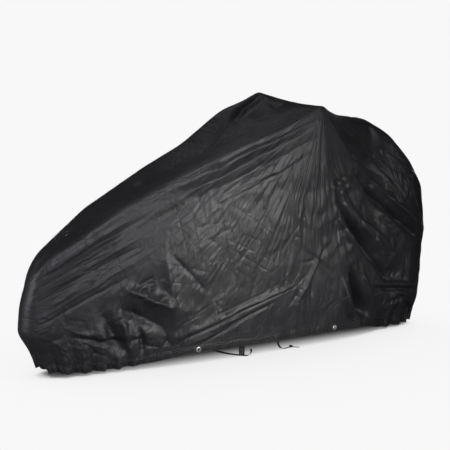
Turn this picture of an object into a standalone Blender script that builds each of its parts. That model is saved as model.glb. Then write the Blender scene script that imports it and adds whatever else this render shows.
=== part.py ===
"""A fitted cover for a front-loading cargo bicycle, hanging as it does over the bicycle.

Metres, +Z up. The nose of the cover points along -X, its tail along +X, and -Y is its left side.
The floor is z = 0, and the origin is on it, under the middle of the cover.

The cover is sewn from a left and a right cloth panel that meet in a seam along the middle.
A doubled hem band runs round the bottom, with four metal eyelets for a lock.
A strap with a buckle passes under the bicycle, and a thin tie strap lies loose beside it.

The whole cloth is first worked out as one fine grid. Its rows run from the left hem over the top
to the right hem, and its columns from the nose to the tail. The pieces are cut from that grid.
"""
import math
from collections import namedtuple

import bmesh
import bpy
import numpy as np
from mathutils import Matrix, Vector

# ---- Driving dimensions -------------------------------------------------------------------
LENGTH = 2.44            # nose to tail
WIDTH = 0.71             # over the two handlebar ends
CLOTH = 0.002            # the coated cloth of the panels
BAND_CLOTH = 0.003       # the hem band is doubled
BAND_HEIGHT = 0.036
SEAM_GAP = 0.0004        # between pieces that are sewn edge to edge
SEWN_GAP = 0.0004        # between pieces that are sewn face to face
EDGE_CLEARANCE = 0.002   # a strap leaves a hem's edge by this much
FLOOR_GAP = 0.0004       # a strap's middle line lies this much higher on the floor than flat webbing would

EYELET_BORE = 0.0062     # radii of an eyelet's bore, barrel and flange
EYELET_BARREL = 0.0072
EYELET_FLANGE = 0.0135
EYELET_HOLE = 0.0080     # radius of its hole in the band
FLANGE_THICK = 0.0010
FLANGE_GAP = 0.0005      # flange to band
EYELET_PATCH = 0.036     # the band is flat over this length at each eyelet
EYELET_PLACES = {"front": 0.845, "rear": 1.690}     # distance from the nose

STRAP_WIDTH = 0.025
STRAP_THICK = 0.0016
TIE_WIDTH = 0.010
BUCKLE_WIDTH, BUCKLE_THICK = 0.034, 0.010
SOCKET_HEIGHT, PLUG_HEIGHT = 0.024, 0.014
BUCKLE_PLACE, BUCKLE_Y = 1.118, -0.188     # the buckle hangs here, and the straps leave the hems here
BELLY_PLACE = 1.060
TIE_PLACE = 1.325
SLIDER_SIZE = (0.012, 0.016, 0.008)

BLACK_CLOTH = (.030, .030, .033, 1)
BLACK_BAND = (.026, .026, .029, 1)
BLACK_WEBBING = (.016, .016, .018, 1)
BLACK_PLASTIC = (.020, .020, .022, 1)
PALE_METAL = (.80, .80, .79, 1)

# ---- The form: sections from nose to tail --------------------------------------------------
# A section gives the points of its corners as (distance from the nose, half width, height).
Section = namedtuple("Section", "name hem knee waist ridge crown")
SECTIONS = [
    Section("nose seam", (.120, 0, .036), (.002, 0, .21), (.013, 0, .33), (.053, 0, .47), (.100, 0, .557)),
    Section("nose corner", (.118, .050, .034), (.014, .055, .21), (.025, .055, .33), (.069, .048, .488),
            (.130, 0, .574)),
    Section("wheel front", (.160, .088, .024), (.097, .100, .21), (.107, .095, .35), (.127, .072, .568),
            (.200, 0, .615)),
    Section("wheel middle", (.270, .108, .016), (.250, .135, .20), (.250, .135, .40), (.257, .112, .648),
            (.310, 0, .680)),
    Section("wheel back", (.420, .125, .016), (.420, .160, .20), (.420, .170, .46), (.425, .152, .770),
            (.455, 0, .762)),
    Section("box front", (.600, .165, .030), (.600, .200, .22), (.600, .215, .51), (.605, .192, .858),
            (.625, 0, .842)),
    Section("box", (.800, .205, .054), (.800, .225, .25), (.800, .245, .56), (.805, .232, .962),
            (.825, 0, .925)),
    Section("box back", (1.03, .212, .052), (1.03, .235, .26), (1.03, .262, .61), (1.03, .272, 1.062),
            (1.045, 0, 1.005)),
    Section("step", (1.27, .212, .055), (1.27, .238, .27), (1.28, .275, .63), (1.28, .315, 1.152),
            (1.290, 0, 1.120)),
    Section("bars", (1.50, .212, .060), (1.50, .235, .28), (1.50, .272, .66), (1.485, .355, 1.232),
            (1.540, 0, 1.240)),
    Section("legs", (1.72, .202, .056), (1.72, .222, .28), (1.72, .246, .65), (1.720, .228, 1.160),
            (1.750, 0, 1.168)),
    Section("saddle", (1.91, .180, .052), (1.92, .185, .27), (1.94, .186, .62), (2.000, .082, 1.118),
            (2.035, 0, 1.132)),
    Section("rack", (2.06, .118, .014), (2.10, .152, .24), (2.13, .162, .58), (2.150, .088, 1.040),
            (2.165, 0, 1.066)),
    Section("rack back", (2.23, .098, .010), (2.26, .138, .20), (2.30, .150, .55), (2.285, .095, .905),
            (2.290, 0, .930)),
    Section("tail corner", (2.33, .058, .022), (2.378, .078, .16), (2.408, .088, .53), (2.398, .072, .755),
            (2.375, 0, .805)),
    Section("tail seam", (2.345, 0, .030), (2.392, 0, .16), (2.426, 0, .51), (2.440, 0, .655),
            (2.412, 0, .735)),
]
SECTION_NAMES = [s.name for s in SECTIONS]
# The handlebar is turned a little. Compared with the left ridge, the right one lies (back, up) by:
RIGHT_RIDGE = {"wheel back": (0, -.012), "box front": (0, -.020), "box": (0, -.030), "box back": (.02, -.028),
               "step": (.050, .054), "bars": (.118, .042), "legs": (.060, .020)}

FINE_ROWS, FINE_COLUMNS = 360, 280     # the grid on which the cloth is worked out
SOFTNESS = 0.026                       # how far the cloth rounds off a corner
PEAK_SOFTNESS = 0.009                  # the same close to the handlebar ends
PEAK_REACH = 0.10

# ---- The main folds -------------------------------------------------------------------------
# A fold runs from start to end. On a side both are (distance from the nose, height), on the top
# (distance from the nose, y). Its half width goes from width_start to width_end. It stands out by
# its height, or in where that is negative. Bow bends it sideways, and a lean under 1 moves its
# highest part towards the start.
Fold = namedtuple("Fold", "name start end width_start width_end height bow lean")
LEFT_FOLDS = [
    # from the handlebar end, forwards and down
    Fold("bar trough 1", (1.44, 1.12), (.50, .74), .030, .044, -.024, .00, .8),
    Fold("bar ridge 1", (1.45, 1.07), (.62, .66), .030, .050, .016, .00, .8),
    Fold("bar trough 2", (1.46, 1.02), (.90, .60), .030, .044, -.014, .02, .8),
    # from the handlebar end, back and down
    Fold("bar ridge 2", (1.50, 1.12), (1.60, .76), .036, .044, .012, .00, .7),
    Fold("bar trough 3", (1.55, 1.12), (1.76, .70), .038, .048, -.024, .00, .7),
    Fold("bar ridge 3", (1.58, 1.12), (1.90, .70), .038, .048, .016, .00, .7),
    Fold("bar trough 4", (1.62, 1.12), (2.04, .80), .038, .046, -.022, .00, .8),
    Fold("leg trough", (1.65, .86), (1.93, .42), .044, .052, -.042, .00, 1.),
    Fold("leg ridge", (1.78, .80), (2.06, .44), .042, .050, .016, .00, 1.),
    Fold("rack trough", (2.00, .90), (2.34, .46), .038, .048, -.032, .00, 1.),
    # across the middle
    Fold("long fold", (1.44, .35), (.72, .12), .034, .050, .026, -.01, .9),
    Fold("long trough", (1.46, .41), (.74, .18), .034, .044, -.022, -.01, .9),
    Fold("low trough", (1.34, .26), (.80, .09), .034, .040, -.012, -.01, 1.),
    Fold("pedal point", (1.50, .46), (1.60, .44), .070, .060, .028, .00, 1.),
    Fold("pedal band", (1.53, .42), (1.40, .16), .036, .045, .014, .00, .9),
    # over the wheels and the box
    Fold("wheel slit", (1.80, .36), (1.92, .08), .044, .050, -.036, .00, 1.),
    Fold("wheel shelf", (1.97, .27), (2.34, .22), .034, .036, -.016, .00, 1.),
    Fold("nose ridge 1", (.06, .30), (.56, .53), .036, .050, .012, .00, 1.),
    Fold("nose trough", (.06, .38), (.58, .62), .034, .046, -.010, .00, 1.),
    Fold("nose ridge 2", (.06, .45), (.60, .72), .034, .046, .008, .00, 1.),
    Fold("box corner", (.46, .43), (.70, .30), .050, .060, .034, .00, 1.),
    Fold("under the box", (.48, .29), (.68, .19), .048, .050, -.034, .00, 1.),
    Fold("box hollow", (.40, .32), (.50, .08), .044, .050, -.030, .00, 1.),
    Fold("wheel wrinkle", (.20, .23), (.50, .15), .036, .040, -.014, .00, 1.),
]
RIGHT_FOLDS = [
    Fold("bar trough 1", (1.53, 1.16), (.56, .74), .030, .044, -.024, .00, .8),
    Fold("bar ridge 1", (1.55, 1.10), (.72, .66), .030, .050, .016, .00, .8),
    Fold("bar trough 2", (1.57, 1.04), (1.02, .60), .030, .044, -.014, .02, .8),
    Fold("bar ridge 2", (1.60, 1.14), (1.62, .70), .036, .044, .012, .00, .7),
    Fold("bar trough 3", (1.65, 1.14), (1.80, .66), .038, .048, -.024, .00, .7),
    Fold("bar ridge 3", (1.69, 1.13), (1.96, .70), .038, .048, .016, .00, .7),
    Fold("leg trough", (1.76, .82), (1.92, .40), .042, .050, -.034, .00, 1.),
    Fold("rack trough", (2.02, .88), (2.32, .46), .034, .045, -.030, .00, 1.),
    Fold("long fold", (1.50, .40), (.74, .10), .034, .050, .024, -.01, .9),
    Fold("long trough", (1.52, .46), (.76, .16), .034, .042, -.020, -.01, .9),
    Fold("wheel slit", (1.84, .36), (1.94, .08), .044, .050, -.032, .00, 1.),
    Fold("nose ridge", (.08, .34), (.60, .60), .036, .050, .012, .00, 1.),
    Fold("box corner", (.48, .40), (.70, .28), .050, .060, .030, .00, 1.),
    Fold("under the box", (.50, .27), (.68, .17), .048, .050, -.030, .00, 1.),
    Fold("box hollow", (.41, .30), (.50, .08), .044, .050, -.026, .00, 1.),
]
TOP_FOLDS = [
    Fold("right bar trough", (1.56, .27), (1.08, .03), .032, .044, -.022, .00, .8),
    Fold("right bar ridge", (1.52, .20), (1.04, -.02), .032, .044, .014, .00, .8),
    Fold("left bar trough", (1.44, -.24), (.96, -.15), .032, .040, -.012, .00, .8),
    Fold("crown sag", (1.36, .10), (1.44, -.12), .080, .080, -.018, .00, 1.),
    Fold("tuft", (.66, .06), (.72, .03), .036, .036, -.012, .00, 1.),
]
RIDGE_FADE = 0.035       # side folds die out this far beyond the ridge, and top folds short of it
SEAM_FADE = 0.06         # side folds die out this close to the nose and tail seams
HEM_FADE = 0.12          # side folds start to die out this far above the hem, whose band is stiff
SEAM_PULL = 0.05         # how far the middle seam keeps the cloth straight

# The elastic in the hem gathers the cloth at the nose and tail. Each gather zone gives its length
# along the hem, how many pleats it has on one side, how deep they are and how high they reach.
Gather = namedtuple("Gather", "zone length pleats depth reach")
GATHERS = [Gather("nose", .66, 6, .012, .11), Gather("tail", .44, 4, .011, .11)]

# ---- How finely the pieces are cut from the grid ---------------------------------------------
# Steps between the cut lines, along the length up to each named section ...
ROW_STEPS = [("box front", .040), ("step", .056), ("legs", .038), ("saddle", .050), ("tail seam", .038)]
# ... and up each side to the waist, the ridge and the middle seam.
WALL_STEP, SHOULDER_STEP, TOP_STEP = .056, .031, .046


def smoothstep(value, low, high):
    t = np.clip((value - low) / (high - low), 0, 1)
    return t * t * (3 - 2 * t)


def place(distance, y, z):
    """A point given by its distance from the nose, in the frame of the cover."""
    return np.array((distance - LENGTH / 2, y, z))


# ---- The cloth as one grid -------------------------------------------------------------------
def cage():
    """The corners of every section, from the left hem over the top to the right hem."""
    rows = []
    for section in SECTIONS:
        hem, knee = np.array(section.hem), np.array(section.knee)
        band_top = hem + (knee - hem) / np.linalg.norm(knee - hem) * BAND_HEIGHT
        left = np.array([hem, band_top, knee, section.waist, section.ridge])
        right = left.copy()
        back, up = RIGHT_RIDGE.get(section.name, (0, 0))
        right[-1] += (back, 0, up)
        left[:, 1] *= -1
        rows.append(np.vstack([left, [section.crown], right[::-1]]))
    return np.array(rows)


def distances(points, axis):
    """The mean distance travelled from one line of points to the next."""
    steps = np.linalg.norm(np.diff(points, axis=axis), axis=2).mean(axis=1 - axis)
    return np.concatenate([[0], np.cumsum(steps)])


def between(lines, known, wanted):
    """Lines of points at the wanted distances, on straight runs between the known ones."""
    flat = lines.reshape(len(known), -1)
    columns = [np.interp(wanted, known, column) for column in flat.T]
    return np.stack(columns, axis=1).reshape(len(wanted), *lines.shape[1:])


def past_seams(grid, count):
    """The grid with lines added at both ends, where the cloth goes on as its other side."""
    return np.concatenate([grid[count:0:-1, ::-1], grid, grid[-2:-count - 2:-1, ::-1]])


def past_hems(grid, count):
    """The grid with lines added at both hems, straight on from the hem."""
    grid = grid.swapaxes(0, 1)
    before = 2 * grid[:1] - grid[count:0:-1]
    after = 2 * grid[-1:] - grid[-2:-count - 2:-1]
    return np.concatenate([before, grid, after])


def blur(longer, count, sigma):
    """Averages each line with its neighbours, and drops the lines that were added at the ends."""
    weights = np.exp(-0.5 * (np.arange(-count, count + 1) / sigma) ** 2)
    weights /= weights.sum()
    length = len(longer) - 2 * count
    return sum(w * longer[k:k + length] for k, w in enumerate(weights))


def soften(grid, sigma_rows, sigma_columns):
    """Rounds the grid off in both directions."""
    count = math.ceil(3 * sigma_rows)
    grid = blur(past_seams(grid, count), count, sigma_rows)
    count = math.ceil(3 * sigma_columns)
    return blur(past_hems(grid, count), count, sigma_columns).swapaxes(0, 1)


def outward(grid):
    """Unit normals of the grid, pointing out of the cover."""
    longer = past_seams(grid, 1)
    along = np.gradient(longer, axis=0)[1:-1]
    across = np.gradient(grid, axis=1)
    normal = np.cross(along, across)
    return normal / np.maximum(np.linalg.norm(normal, axis=2, keepdims=True), 1e-12)


def fold_height(a, b, folds):
    """How far the folds move each point (a, b) out of the smooth form."""
    total = np.zeros_like(a)
    for fold in folds:
        run = np.subtract(fold.end, fold.start)
        length = math.hypot(*run)
        t = ((a - fold.start[0]) * run[0] + (b - fold.start[1]) * run[1]) / length ** 2
        inside = np.clip(t, 0, 1)
        beyond = (t - inside) * length
        sideways = ((b - fold.start[1]) * run[0] - (a - fold.start[0]) * run[1]) / length
        sideways = sideways - fold.bow * 4 * inside * (1 - inside)
        width = fold.width_start + (fold.width_end - fold.width_start) * inside
        taper = np.sin(math.pi * np.clip(inside, .02, .98) ** fold.lean) ** .7
        total += fold.height * taper * np.exp(-(sideways / width) ** 2 - (beyond / width) ** 2)
    return total


def gather_height(along, from_hem):
    """The pleats where elastic draws the hem in."""
    total = np.zeros(np.broadcast(along, from_hem).shape)
    for gather in GATHERS:
        run = along if gather.zone == "nose" else along.max() - along
        inside = 1 - smoothstep(run / gather.length, .75, 1)
        wave = np.cos(2 * math.pi * gather.pleats * run / gather.length + .8 * np.sin(11 * run))
        total += gather.depth * wave * inside * np.exp(-from_hem / gather.reach)
    return total


class Cloth:
    """The folded cloth: its points, its normals and the distances of its lines."""

    def __init__(self):
        corners = cage()
        row_places, column_places = distances(corners, 0), distances(corners, 1)
        self.section_rows = dict(zip(SECTION_NAMES, row_places))
        self.rows = np.linspace(0, row_places[-1], FINE_ROWS + 1)
        self.columns = np.linspace(0, column_places[-1], FINE_COLUMNS + 1)
        self.waist, self.ridge = column_places[3:5]
        self.middle = self.columns[-1] / 2
        form = self.smooth_form(corners, row_places, column_places)
        form = form + outward(form) * self.folds(form)[..., None]
        self.points = self.fit(self.straighten_seam(form))
        self.normals = outward(self.points)

    def smooth_form(self, corners, row_places, column_places):
        grid = between(corners, row_places, self.rows)
        grid = between(grid.swapaxes(0, 1), column_places, self.columns).swapaxes(0, 1)
        near_peak = np.zeros(grid.shape[:2] + (1,))
        for column in (4, -5):
            peak = corners[SECTION_NAMES.index("bars"), column]
            reach = np.linalg.norm(grid - peak, axis=2, keepdims=True) / PEAK_REACH
            near_peak += np.exp(-reach ** 2)
        soft = soften(grid, SOFTNESS / self.rows[1], SOFTNESS / self.columns[1])
        sharp = soften(grid, PEAK_SOFTNESS / self.rows[1], PEAK_SOFTNESS / self.columns[1])
        return soft * (1 - near_peak) + sharp * near_peak

    def folds(self, form):
        """The height of the folds at each point of the grid."""
        x, y, z = np.moveaxis(form, 2, 0)
        from_hem = np.minimum(self.columns, self.columns[-1] - self.columns)[None, :]
        on_side = 1 - smoothstep(from_hem, self.ridge - RIDGE_FADE, self.ridge + RIDGE_FADE)
        off_hem = smoothstep(from_hem, BAND_HEIGHT, HEM_FADE)
        off_seam = smoothstep(np.abs(y), 0, SEAM_FADE)
        left = fold_height(x, z, LEFT_FOLDS)
        right = fold_height(x, z, RIGHT_FOLDS)
        side = np.where(self.columns[None, :] < self.middle, left, right)
        gathers = gather_height(self.rows[:, None], from_hem)
        top = fold_height(x, y, TOP_FOLDS) * (1 - on_side)
        return (side * on_side * off_hem + gathers) * off_seam + top

    def straighten_seam(self, points):
        """Keeps the seam over the top on the middle plane."""
        seam = points[:, FINE_COLUMNS // 2, 1]
        pull = np.exp(-((self.columns - self.middle) / SEAM_PULL) ** 2)
        points[..., 1] -= seam[:, None] * pull[None, :]
        return points

    def fit(self, points):
        """Brings the cloth to its named length and width, and puts the origin under its middle."""
        low, high = points[..., 0].min(), points[..., 0].max()
        points[..., 0] = ((points[..., 0] - low) / (high - low) - .5) * (LENGTH - CLOTH)
        y = points[..., 1]
        half = (WIDTH - CLOTH) / 2
        points[..., 1] = np.where(y < 0, y * (half / -y.min()), y * (half / y.max()))
        return points

    def sample(self, rows, columns):
        """Points and normals of the cloth at the given distances."""
        both = np.concatenate([self.points, self.normals], axis=2)
        both = between(both, self.rows, rows)
        both = between(both.swapaxes(0, 1), self.columns, columns).swapaxes(0, 1)
        normals = both[..., 3:]
        return both[..., :3], normals / np.linalg.norm(normals, axis=2, keepdims=True)

    def row_at(self, distance):
        """The row that crosses the hem band, between the wheels, at a distance from the nose."""
        points, _ = self.sample(self.rows, np.array([BAND_HEIGHT / 2]))
        between_wheels = ((self.rows > self.section_rows["wheel back"])
                          & (self.rows < self.section_rows["saddle"]))
        return np.interp(distance - LENGTH / 2, points[between_wheels, 0, 0], self.rows[between_wheels])

    def piece_rows(self):
        """The rows at which the pieces are cut. They meet the bars, and the band is flat at the eyelets."""
        rows, start = [], SEAM_GAP / 2
        for name, step in ROW_STEPS:
            stop = min(self.section_rows[name], self.rows[-1] - SEAM_GAP / 2)
            rows += list(np.linspace(start, stop, round((stop - start) / step) + 1)[:-1])
            start = stop
        rows = np.array(rows + [start])
        bars = self.section_rows["bars"]
        rows[np.abs(rows - bars).argmin()] = bars
        for distance in EYELET_PLACES.values():
            centre = self.row_at(distance)
            first = np.searchsorted(rows, centre) - 1
            rows[first:first + 2] = centre - EYELET_PATCH / 2, centre + EYELET_PATCH / 2
        return rows

    def panel_columns(self):
        """The columns at which the left panel is cut, from the hem band to the middle seam."""
        stops = [(BAND_HEIGHT + SEAM_GAP / 2, self.waist, WALL_STEP), (self.waist, self.ridge, SHOULDER_STEP),
                 (self.ridge, self.middle - SEAM_GAP / 2, TOP_STEP)]
        columns = [np.linspace(a, b, round((b - a) / step) + 1)[:-1] for a, b, step in stops]
        return np.concatenate(columns + [[self.middle - SEAM_GAP / 2]])


# ---- Making the pieces ---------------------------------------------------------------------
def collection(name):
    made = bpy.data.collections.new(name)
    bpy.context.scene.collection.children.link(made)
    return made


def material(name, colour, roughness, metallic=0.0):
    made = bpy.data.materials.new(name)
    made.use_nodes = True
    shader = made.node_tree.nodes["Principled BSDF"]
    shader.inputs["Base Color"].default_value = colour
    shader.inputs["Roughness"].default_value = roughness
    shader.inputs["Metallic"].default_value = metallic
    return made


def object_from(bm, name, parts, finish):
    """A named object made of the bmesh, with all its faces pointing out."""
    bmesh.ops.recalc_face_normals(bm, faces=bm.faces)
    mesh = bpy.data.meshes.new(name)
    bm.to_mesh(mesh)
    bm.free()
    made = bpy.data.objects.new(name, mesh)
    made.data.materials.append(finish)
    parts.objects.link(made)
    return made


def closed_sheet(outer, inner):
    """A closed sheet between an outer and an inner layer of points, as a bmesh."""
    rows, columns = outer.shape[:2]
    bm = bmesh.new()
    layers = [[[bm.verts.new(point) for point in line] for line in layer] for layer in (outer, inner)]
    for layer in layers:
        for i in range(rows - 1):
            for j in range(columns - 1):
                bm.faces.new((layer[i][j], layer[i + 1][j], layer[i + 1][j + 1], layer[i][j + 1]))
    top, under = layers
    for j in (0, columns - 1):
        for i in range(rows - 1):
            bm.faces.new((top[i][j], top[i + 1][j], under[i + 1][j], under[i][j]))
    for i in (0, rows - 1):
        for j in range(columns - 1):
            bm.faces.new((top[i][j], top[i][j + 1], under[i][j + 1], under[i][j]))
    bmesh.ops.triangulate(bm, faces=bm.faces, quad_method="FIXED")
    return bm


def cloth_piece(name, cloth, rows, columns, thickness, parts, finish):
    """A piece cut from the cloth. It stays on its own side of the middle seam."""
    points, normals = cloth.sample(rows, columns)
    side = -1 if columns.mean() < cloth.middle else 1
    outer, inner = points + normals * thickness / 2, points - normals * thickness / 2
    for layer in (outer, inner):
        layer[..., 1] = side * np.maximum(side * layer[..., 1], SEAM_GAP / 2)
    made = object_from(closed_sheet(outer, inner), name, parts, finish)
    made.data.shade_smooth()
    made.data.set_sharp_from_angle(angle=math.radians(80))
    return made


def strap(name, route, across, width, parts, finish):
    """A flat strap through the points of a route. Across gives the strap's width direction at each."""
    route, across = smooth_route(np.array(route)), smooth_route(np.array(across, float))
    forward = np.gradient(route, axis=0)
    across -= forward * ((across * forward).sum(1) / (forward * forward).sum(1))[:, None]
    across *= width / 2 / np.linalg.norm(across, axis=1, keepdims=True)
    normal = np.cross(forward, across)
    normal *= STRAP_THICK / 2 / np.linalg.norm(normal, axis=1, keepdims=True)
    edges = np.stack([route - across, route + across], axis=1)
    outer, inner = edges + normal[:, None], edges - normal[:, None]
    return object_from(closed_sheet(outer, inner), name, parts, finish)


def smooth_route(points, steps=4):
    """More points on a smooth curve through the given ones."""
    before, after = 2 * points[0] - points[1], 2 * points[-1] - points[-2]
    known = np.vstack([before, points, after])
    curve = []
    for p0, p1, p2, p3 in zip(known, known[1:], known[2:], known[3:]):
        for t in np.arange(steps) / steps:
            slope1, slope2 = (p2 - p0) / 2, (p3 - p1) / 2
            curve.append((2 * t**3 - 3 * t**2 + 1) * p1 + (t**3 - 2 * t**2 + t) * slope1
                         + (3 * t**2 - 2 * t**3) * p2 + (t**3 - t**2) * slope2)
    return np.array(curve + [points[-1]])


def block(name, centre, size, turn, bevel, parts, finish):
    """A block with rounded edges, turned about Z."""
    bpy.ops.mesh.primitive_cube_add(size=1, location=centre)
    made = bpy.context.active_object
    made.name = made.data.name = name
    made.data.transform(Matrix.Diagonal((*size, 1)))
    made.rotation_euler.z = turn
    rounding = made.modifiers.new("rounded edges", "BEVEL")
    rounding.width, rounding.segments = bevel, 2
    made.data.materials.append(finish)
    for holder in list(made.users_collection):
        holder.objects.unlink(made)
    parts.objects.link(made)
    return made


def facing(point, normal):
    """A placement with its Z axis along the normal and its origin at the point."""
    turn = Vector(normal).to_track_quat("Z", "Y").to_matrix().to_4x4()
    return Matrix.Translation(Vector(point)) @ turn


# ---- The sub-parts ----------------------------------------------------------------------------
def panels_and_bands(cloth, parts, cloth_finish, band_finish):
    rows, end = cloth.piece_rows(), cloth.columns[-1]
    panel = cloth.panel_columns()
    band = np.array([0, BAND_HEIGHT - SEAM_GAP / 2])
    bands = {}
    for side, flip in (("left", False), ("right", True)):
        panel_columns, band_columns = (end - panel[::-1], end - band[::-1]) if flip else (panel, band)
        cloth_piece(f"{side}_panel", cloth, rows, panel_columns, CLOTH, parts, cloth_finish)
        bands[side] = cloth_piece(f"{side}_hem_band", cloth, rows, band_columns, BAND_CLOTH, parts,
                                  band_finish)
    return bands


def eyelet_mesh():
    """A ring with a flange on each face of the band, turned about Z."""
    inner_face = BAND_CLOTH / 2 + FLANGE_GAP
    outer_face = inner_face + FLANGE_THICK
    rounding = FLANGE_THICK * .4
    upper = [(EYELET_BORE, outer_face), (EYELET_FLANGE - rounding, outer_face),
             (EYELET_FLANGE, outer_face - rounding), (EYELET_FLANGE, inner_face), (EYELET_BARREL, inner_face)]
    profile = upper + [(radius, -z) for radius, z in reversed(upper)]
    mesh = bpy.data.meshes.new("eyelet")
    edges = [(k, (k + 1) % len(profile)) for k in range(len(profile))]
    mesh.from_pydata([(radius, 0, z) for radius, z in profile], edges, [])
    return mesh


def eyelets(cloth, bands, parts, cutters, finish):
    mesh = eyelet_mesh()
    mesh.materials.append(finish)
    for place_name, distance in EYELET_PLACES.items():
        row = cloth.row_at(distance)
        patch_rows = np.array([row - EYELET_PATCH / 2, row + EYELET_PATCH / 2])
        for side, band in bands.items():
            patch = np.array([0, BAND_HEIGHT - SEAM_GAP / 2])
            if side == "right":
                patch = cloth.columns[-1] - patch
            points, normals = cloth.sample(patch_rows, patch)
            where = facing(points.mean(axis=(0, 1)), normals.mean(axis=(0, 1)))
            ring = bpy.data.objects.new(f"eyelet_{side}_{place_name}", mesh)
            ring.matrix_world = where
            turned = ring.modifiers.new("turned", "SCREW")
            turned.steps = turned.render_steps = 12
            turned.use_merge_vertices = True
            turned.merge_threshold = 1e-5
            parts.objects.link(ring)
            punch_hole(band, ring.name, where, cutters)


def punch_hole(band, name, where, cutters):
    """The hole for an eyelet, cut through a hem band."""
    bm = bmesh.new()
    bmesh.ops.create_cone(bm, cap_ends=True, segments=16, radius1=EYELET_HOLE, radius2=EYELET_HOLE, depth=.02)
    mesh = bpy.data.meshes.new(f"hole_{name}")
    bm.to_mesh(mesh)
    bm.free()
    cutter = bpy.data.objects.new(mesh.name, mesh)
    cutter.matrix_world = where
    cutter.hide_render = True
    cutter.display_type = "WIRE"
    cutters.objects.link(cutter)
    cut = band.modifiers.new(f"hole {name}", "BOOLEAN")
    cut.operation, cut.solver, cut.object = "DIFFERENCE", "EXACT", cutter


def behind_band(cloth, side, distance):
    """The first points of a strap that is sewn to the inner face of a hem band."""
    route = []
    sewn = BAND_CLOTH / 2 + SEWN_GAP + STRAP_THICK / 2
    for height, depth in ((.032, sewn), (.020, sewn), (.007, sewn + EDGE_CLEARANCE)):
        column = height if side == "left" else cloth.columns[-1] - height
        points, normals = cloth.sample(np.array([cloth.row_at(distance)]), np.array([column]))
        route.append(points[0, 0] - normals[0, 0] * depth)
    return route


def belly_strap_and_buckle(cloth, parts, webbing, plastic):
    lying = STRAP_THICK / 2 + FLOOR_GAP
    plug_low = lying + STRAP_THICK / 2 + 2 * SEWN_GAP
    socket_low = plug_low + PLUG_HEIGHT + SEWN_GAP
    socket_top = socket_low + SOCKET_HEIGHT
    sizes = [("buckle_plug", plug_low, PLUG_HEIGHT, .9), ("buckle_socket", socket_low, SOCKET_HEIGHT, 1)]
    for name, low, height, share in sizes:
        size = (BUCKLE_WIDTH * share, BUCKLE_THICK * share, height)
        centre = place(BUCKLE_PLACE, BUCKLE_Y, low + height / 2)
        block(name, centre, size, 0, .0022, parts, plastic)

    along_x = (1, 0, 0)
    tab = behind_band(cloth, "left", BUCKLE_PLACE)
    tab.append(place(BUCKLE_PLACE, BUCKLE_Y - .015, socket_top + .010))
    tab.append(place(BUCKLE_PLACE, BUCKLE_Y - .003, socket_top + .006))
    tab.append(place(BUCKLE_PLACE, BUCKLE_Y, socket_top + SEWN_GAP))
    strap("buckle_tab", tab, [along_x] * len(tab), STRAP_WIDTH, parts, webbing)

    # from the right band down to the floor, under the bicycle, past the plug, and up to the loose end
    route = behind_band(cloth, "right", BELLY_PLACE)
    route += [place(BELLY_PLACE, .206, .040), place(1.060, .194, .022), place(1.062, .174, .006),
              place(1.064, .140, lying),
              place(1.066, .060, lying), place(1.070, -.020, lying), place(1.078, -.100, lying),
              place(1.100, -.155, lying), place(1.124, -.190, lying), place(1.140, -.208, .003),
              place(1.149, -.219, .013), place(1.152, -.222, .026), place(1.150, -.218, .036)]
    across = [along_x] * 10 + [(1, .35, 0)] + [(1, .7, 0)] * 5
    strap("belly_strap", route, across, STRAP_WIDTH, parts, webbing)


def tie(cloth, parts, webbing, plastic):
    lying = STRAP_THICK / 2 + FLOOR_GAP
    route = behind_band(cloth, "left", TIE_PLACE)
    route += [place(1.330, -.204, .038), place(1.345, -.200, .016), place(1.366, -.193, .005),
              place(1.390, -.186, lying), place(1.414, -.180, lying), place(1.438, -.182, lying),
              place(1.452, -.196, lying), place(1.462, -.208, lying)]
    across = [(1, 0, 0)] * 3 + [(1, -.1, 0), (.9, -.5, 0), (.4, -.9, 0), (.25, -1, 0), (.1, -1, 0),
                                (-.3, -1, 0), (-.75, -.66, 0), (-.75, -.66, 0)]
    strap("tie_strap", route, across, TIE_WIDTH, parts, webbing)
    centre = place(1.430, -.1795, lying + STRAP_THICK / 2 + SEWN_GAP + SLIDER_SIZE[2] / 2)
    block("tie_slider", centre, SLIDER_SIZE, .1, .0018, parts, plastic)


def main():
    for old in list(bpy.data.objects):
        bpy.data.objects.remove(old, do_unlink=True)
    parts, cutters = collection("bicycle_cover"), collection("cutters")
    cloth_finish = material("coated cloth", BLACK_CLOTH, .48)
    band_finish = material("hem cloth", BLACK_BAND, .52)
    webbing = material("webbing", BLACK_WEBBING, .7)
    plastic = material("moulded plastic", BLACK_PLASTIC, .38)
    metal = material("plated metal", PALE_METAL, .28, 1.0)

    cloth = Cloth()
    bands = panels_and_bands(cloth, parts, cloth_finish, band_finish)
    eyelets(cloth, bands, parts, cutters, metal)
    belly_strap_and_buckle(cloth, parts, webbing, plastic)
    tie(cloth, parts, webbing, plastic)


main()
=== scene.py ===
# %% [markdown]
# # A fitted cover over a front-loading cargo bicycle
# The real object is about five square metres of thin black coated nylon. It hangs from the ends of
# the handlebar and from the saddle, and elastic draws its hem in at the nose and the tail.
# This lesson makes the cloth, its seams and hem, four eyelets, the straps and a buckle, around a
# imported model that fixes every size. Lengths are metres, the nose points along -X, +Z is up.

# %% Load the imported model
import math
from collections import namedtuple

import bmesh
import bpy
import numpy as np
from mathutils import Matrix, Vector


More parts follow.
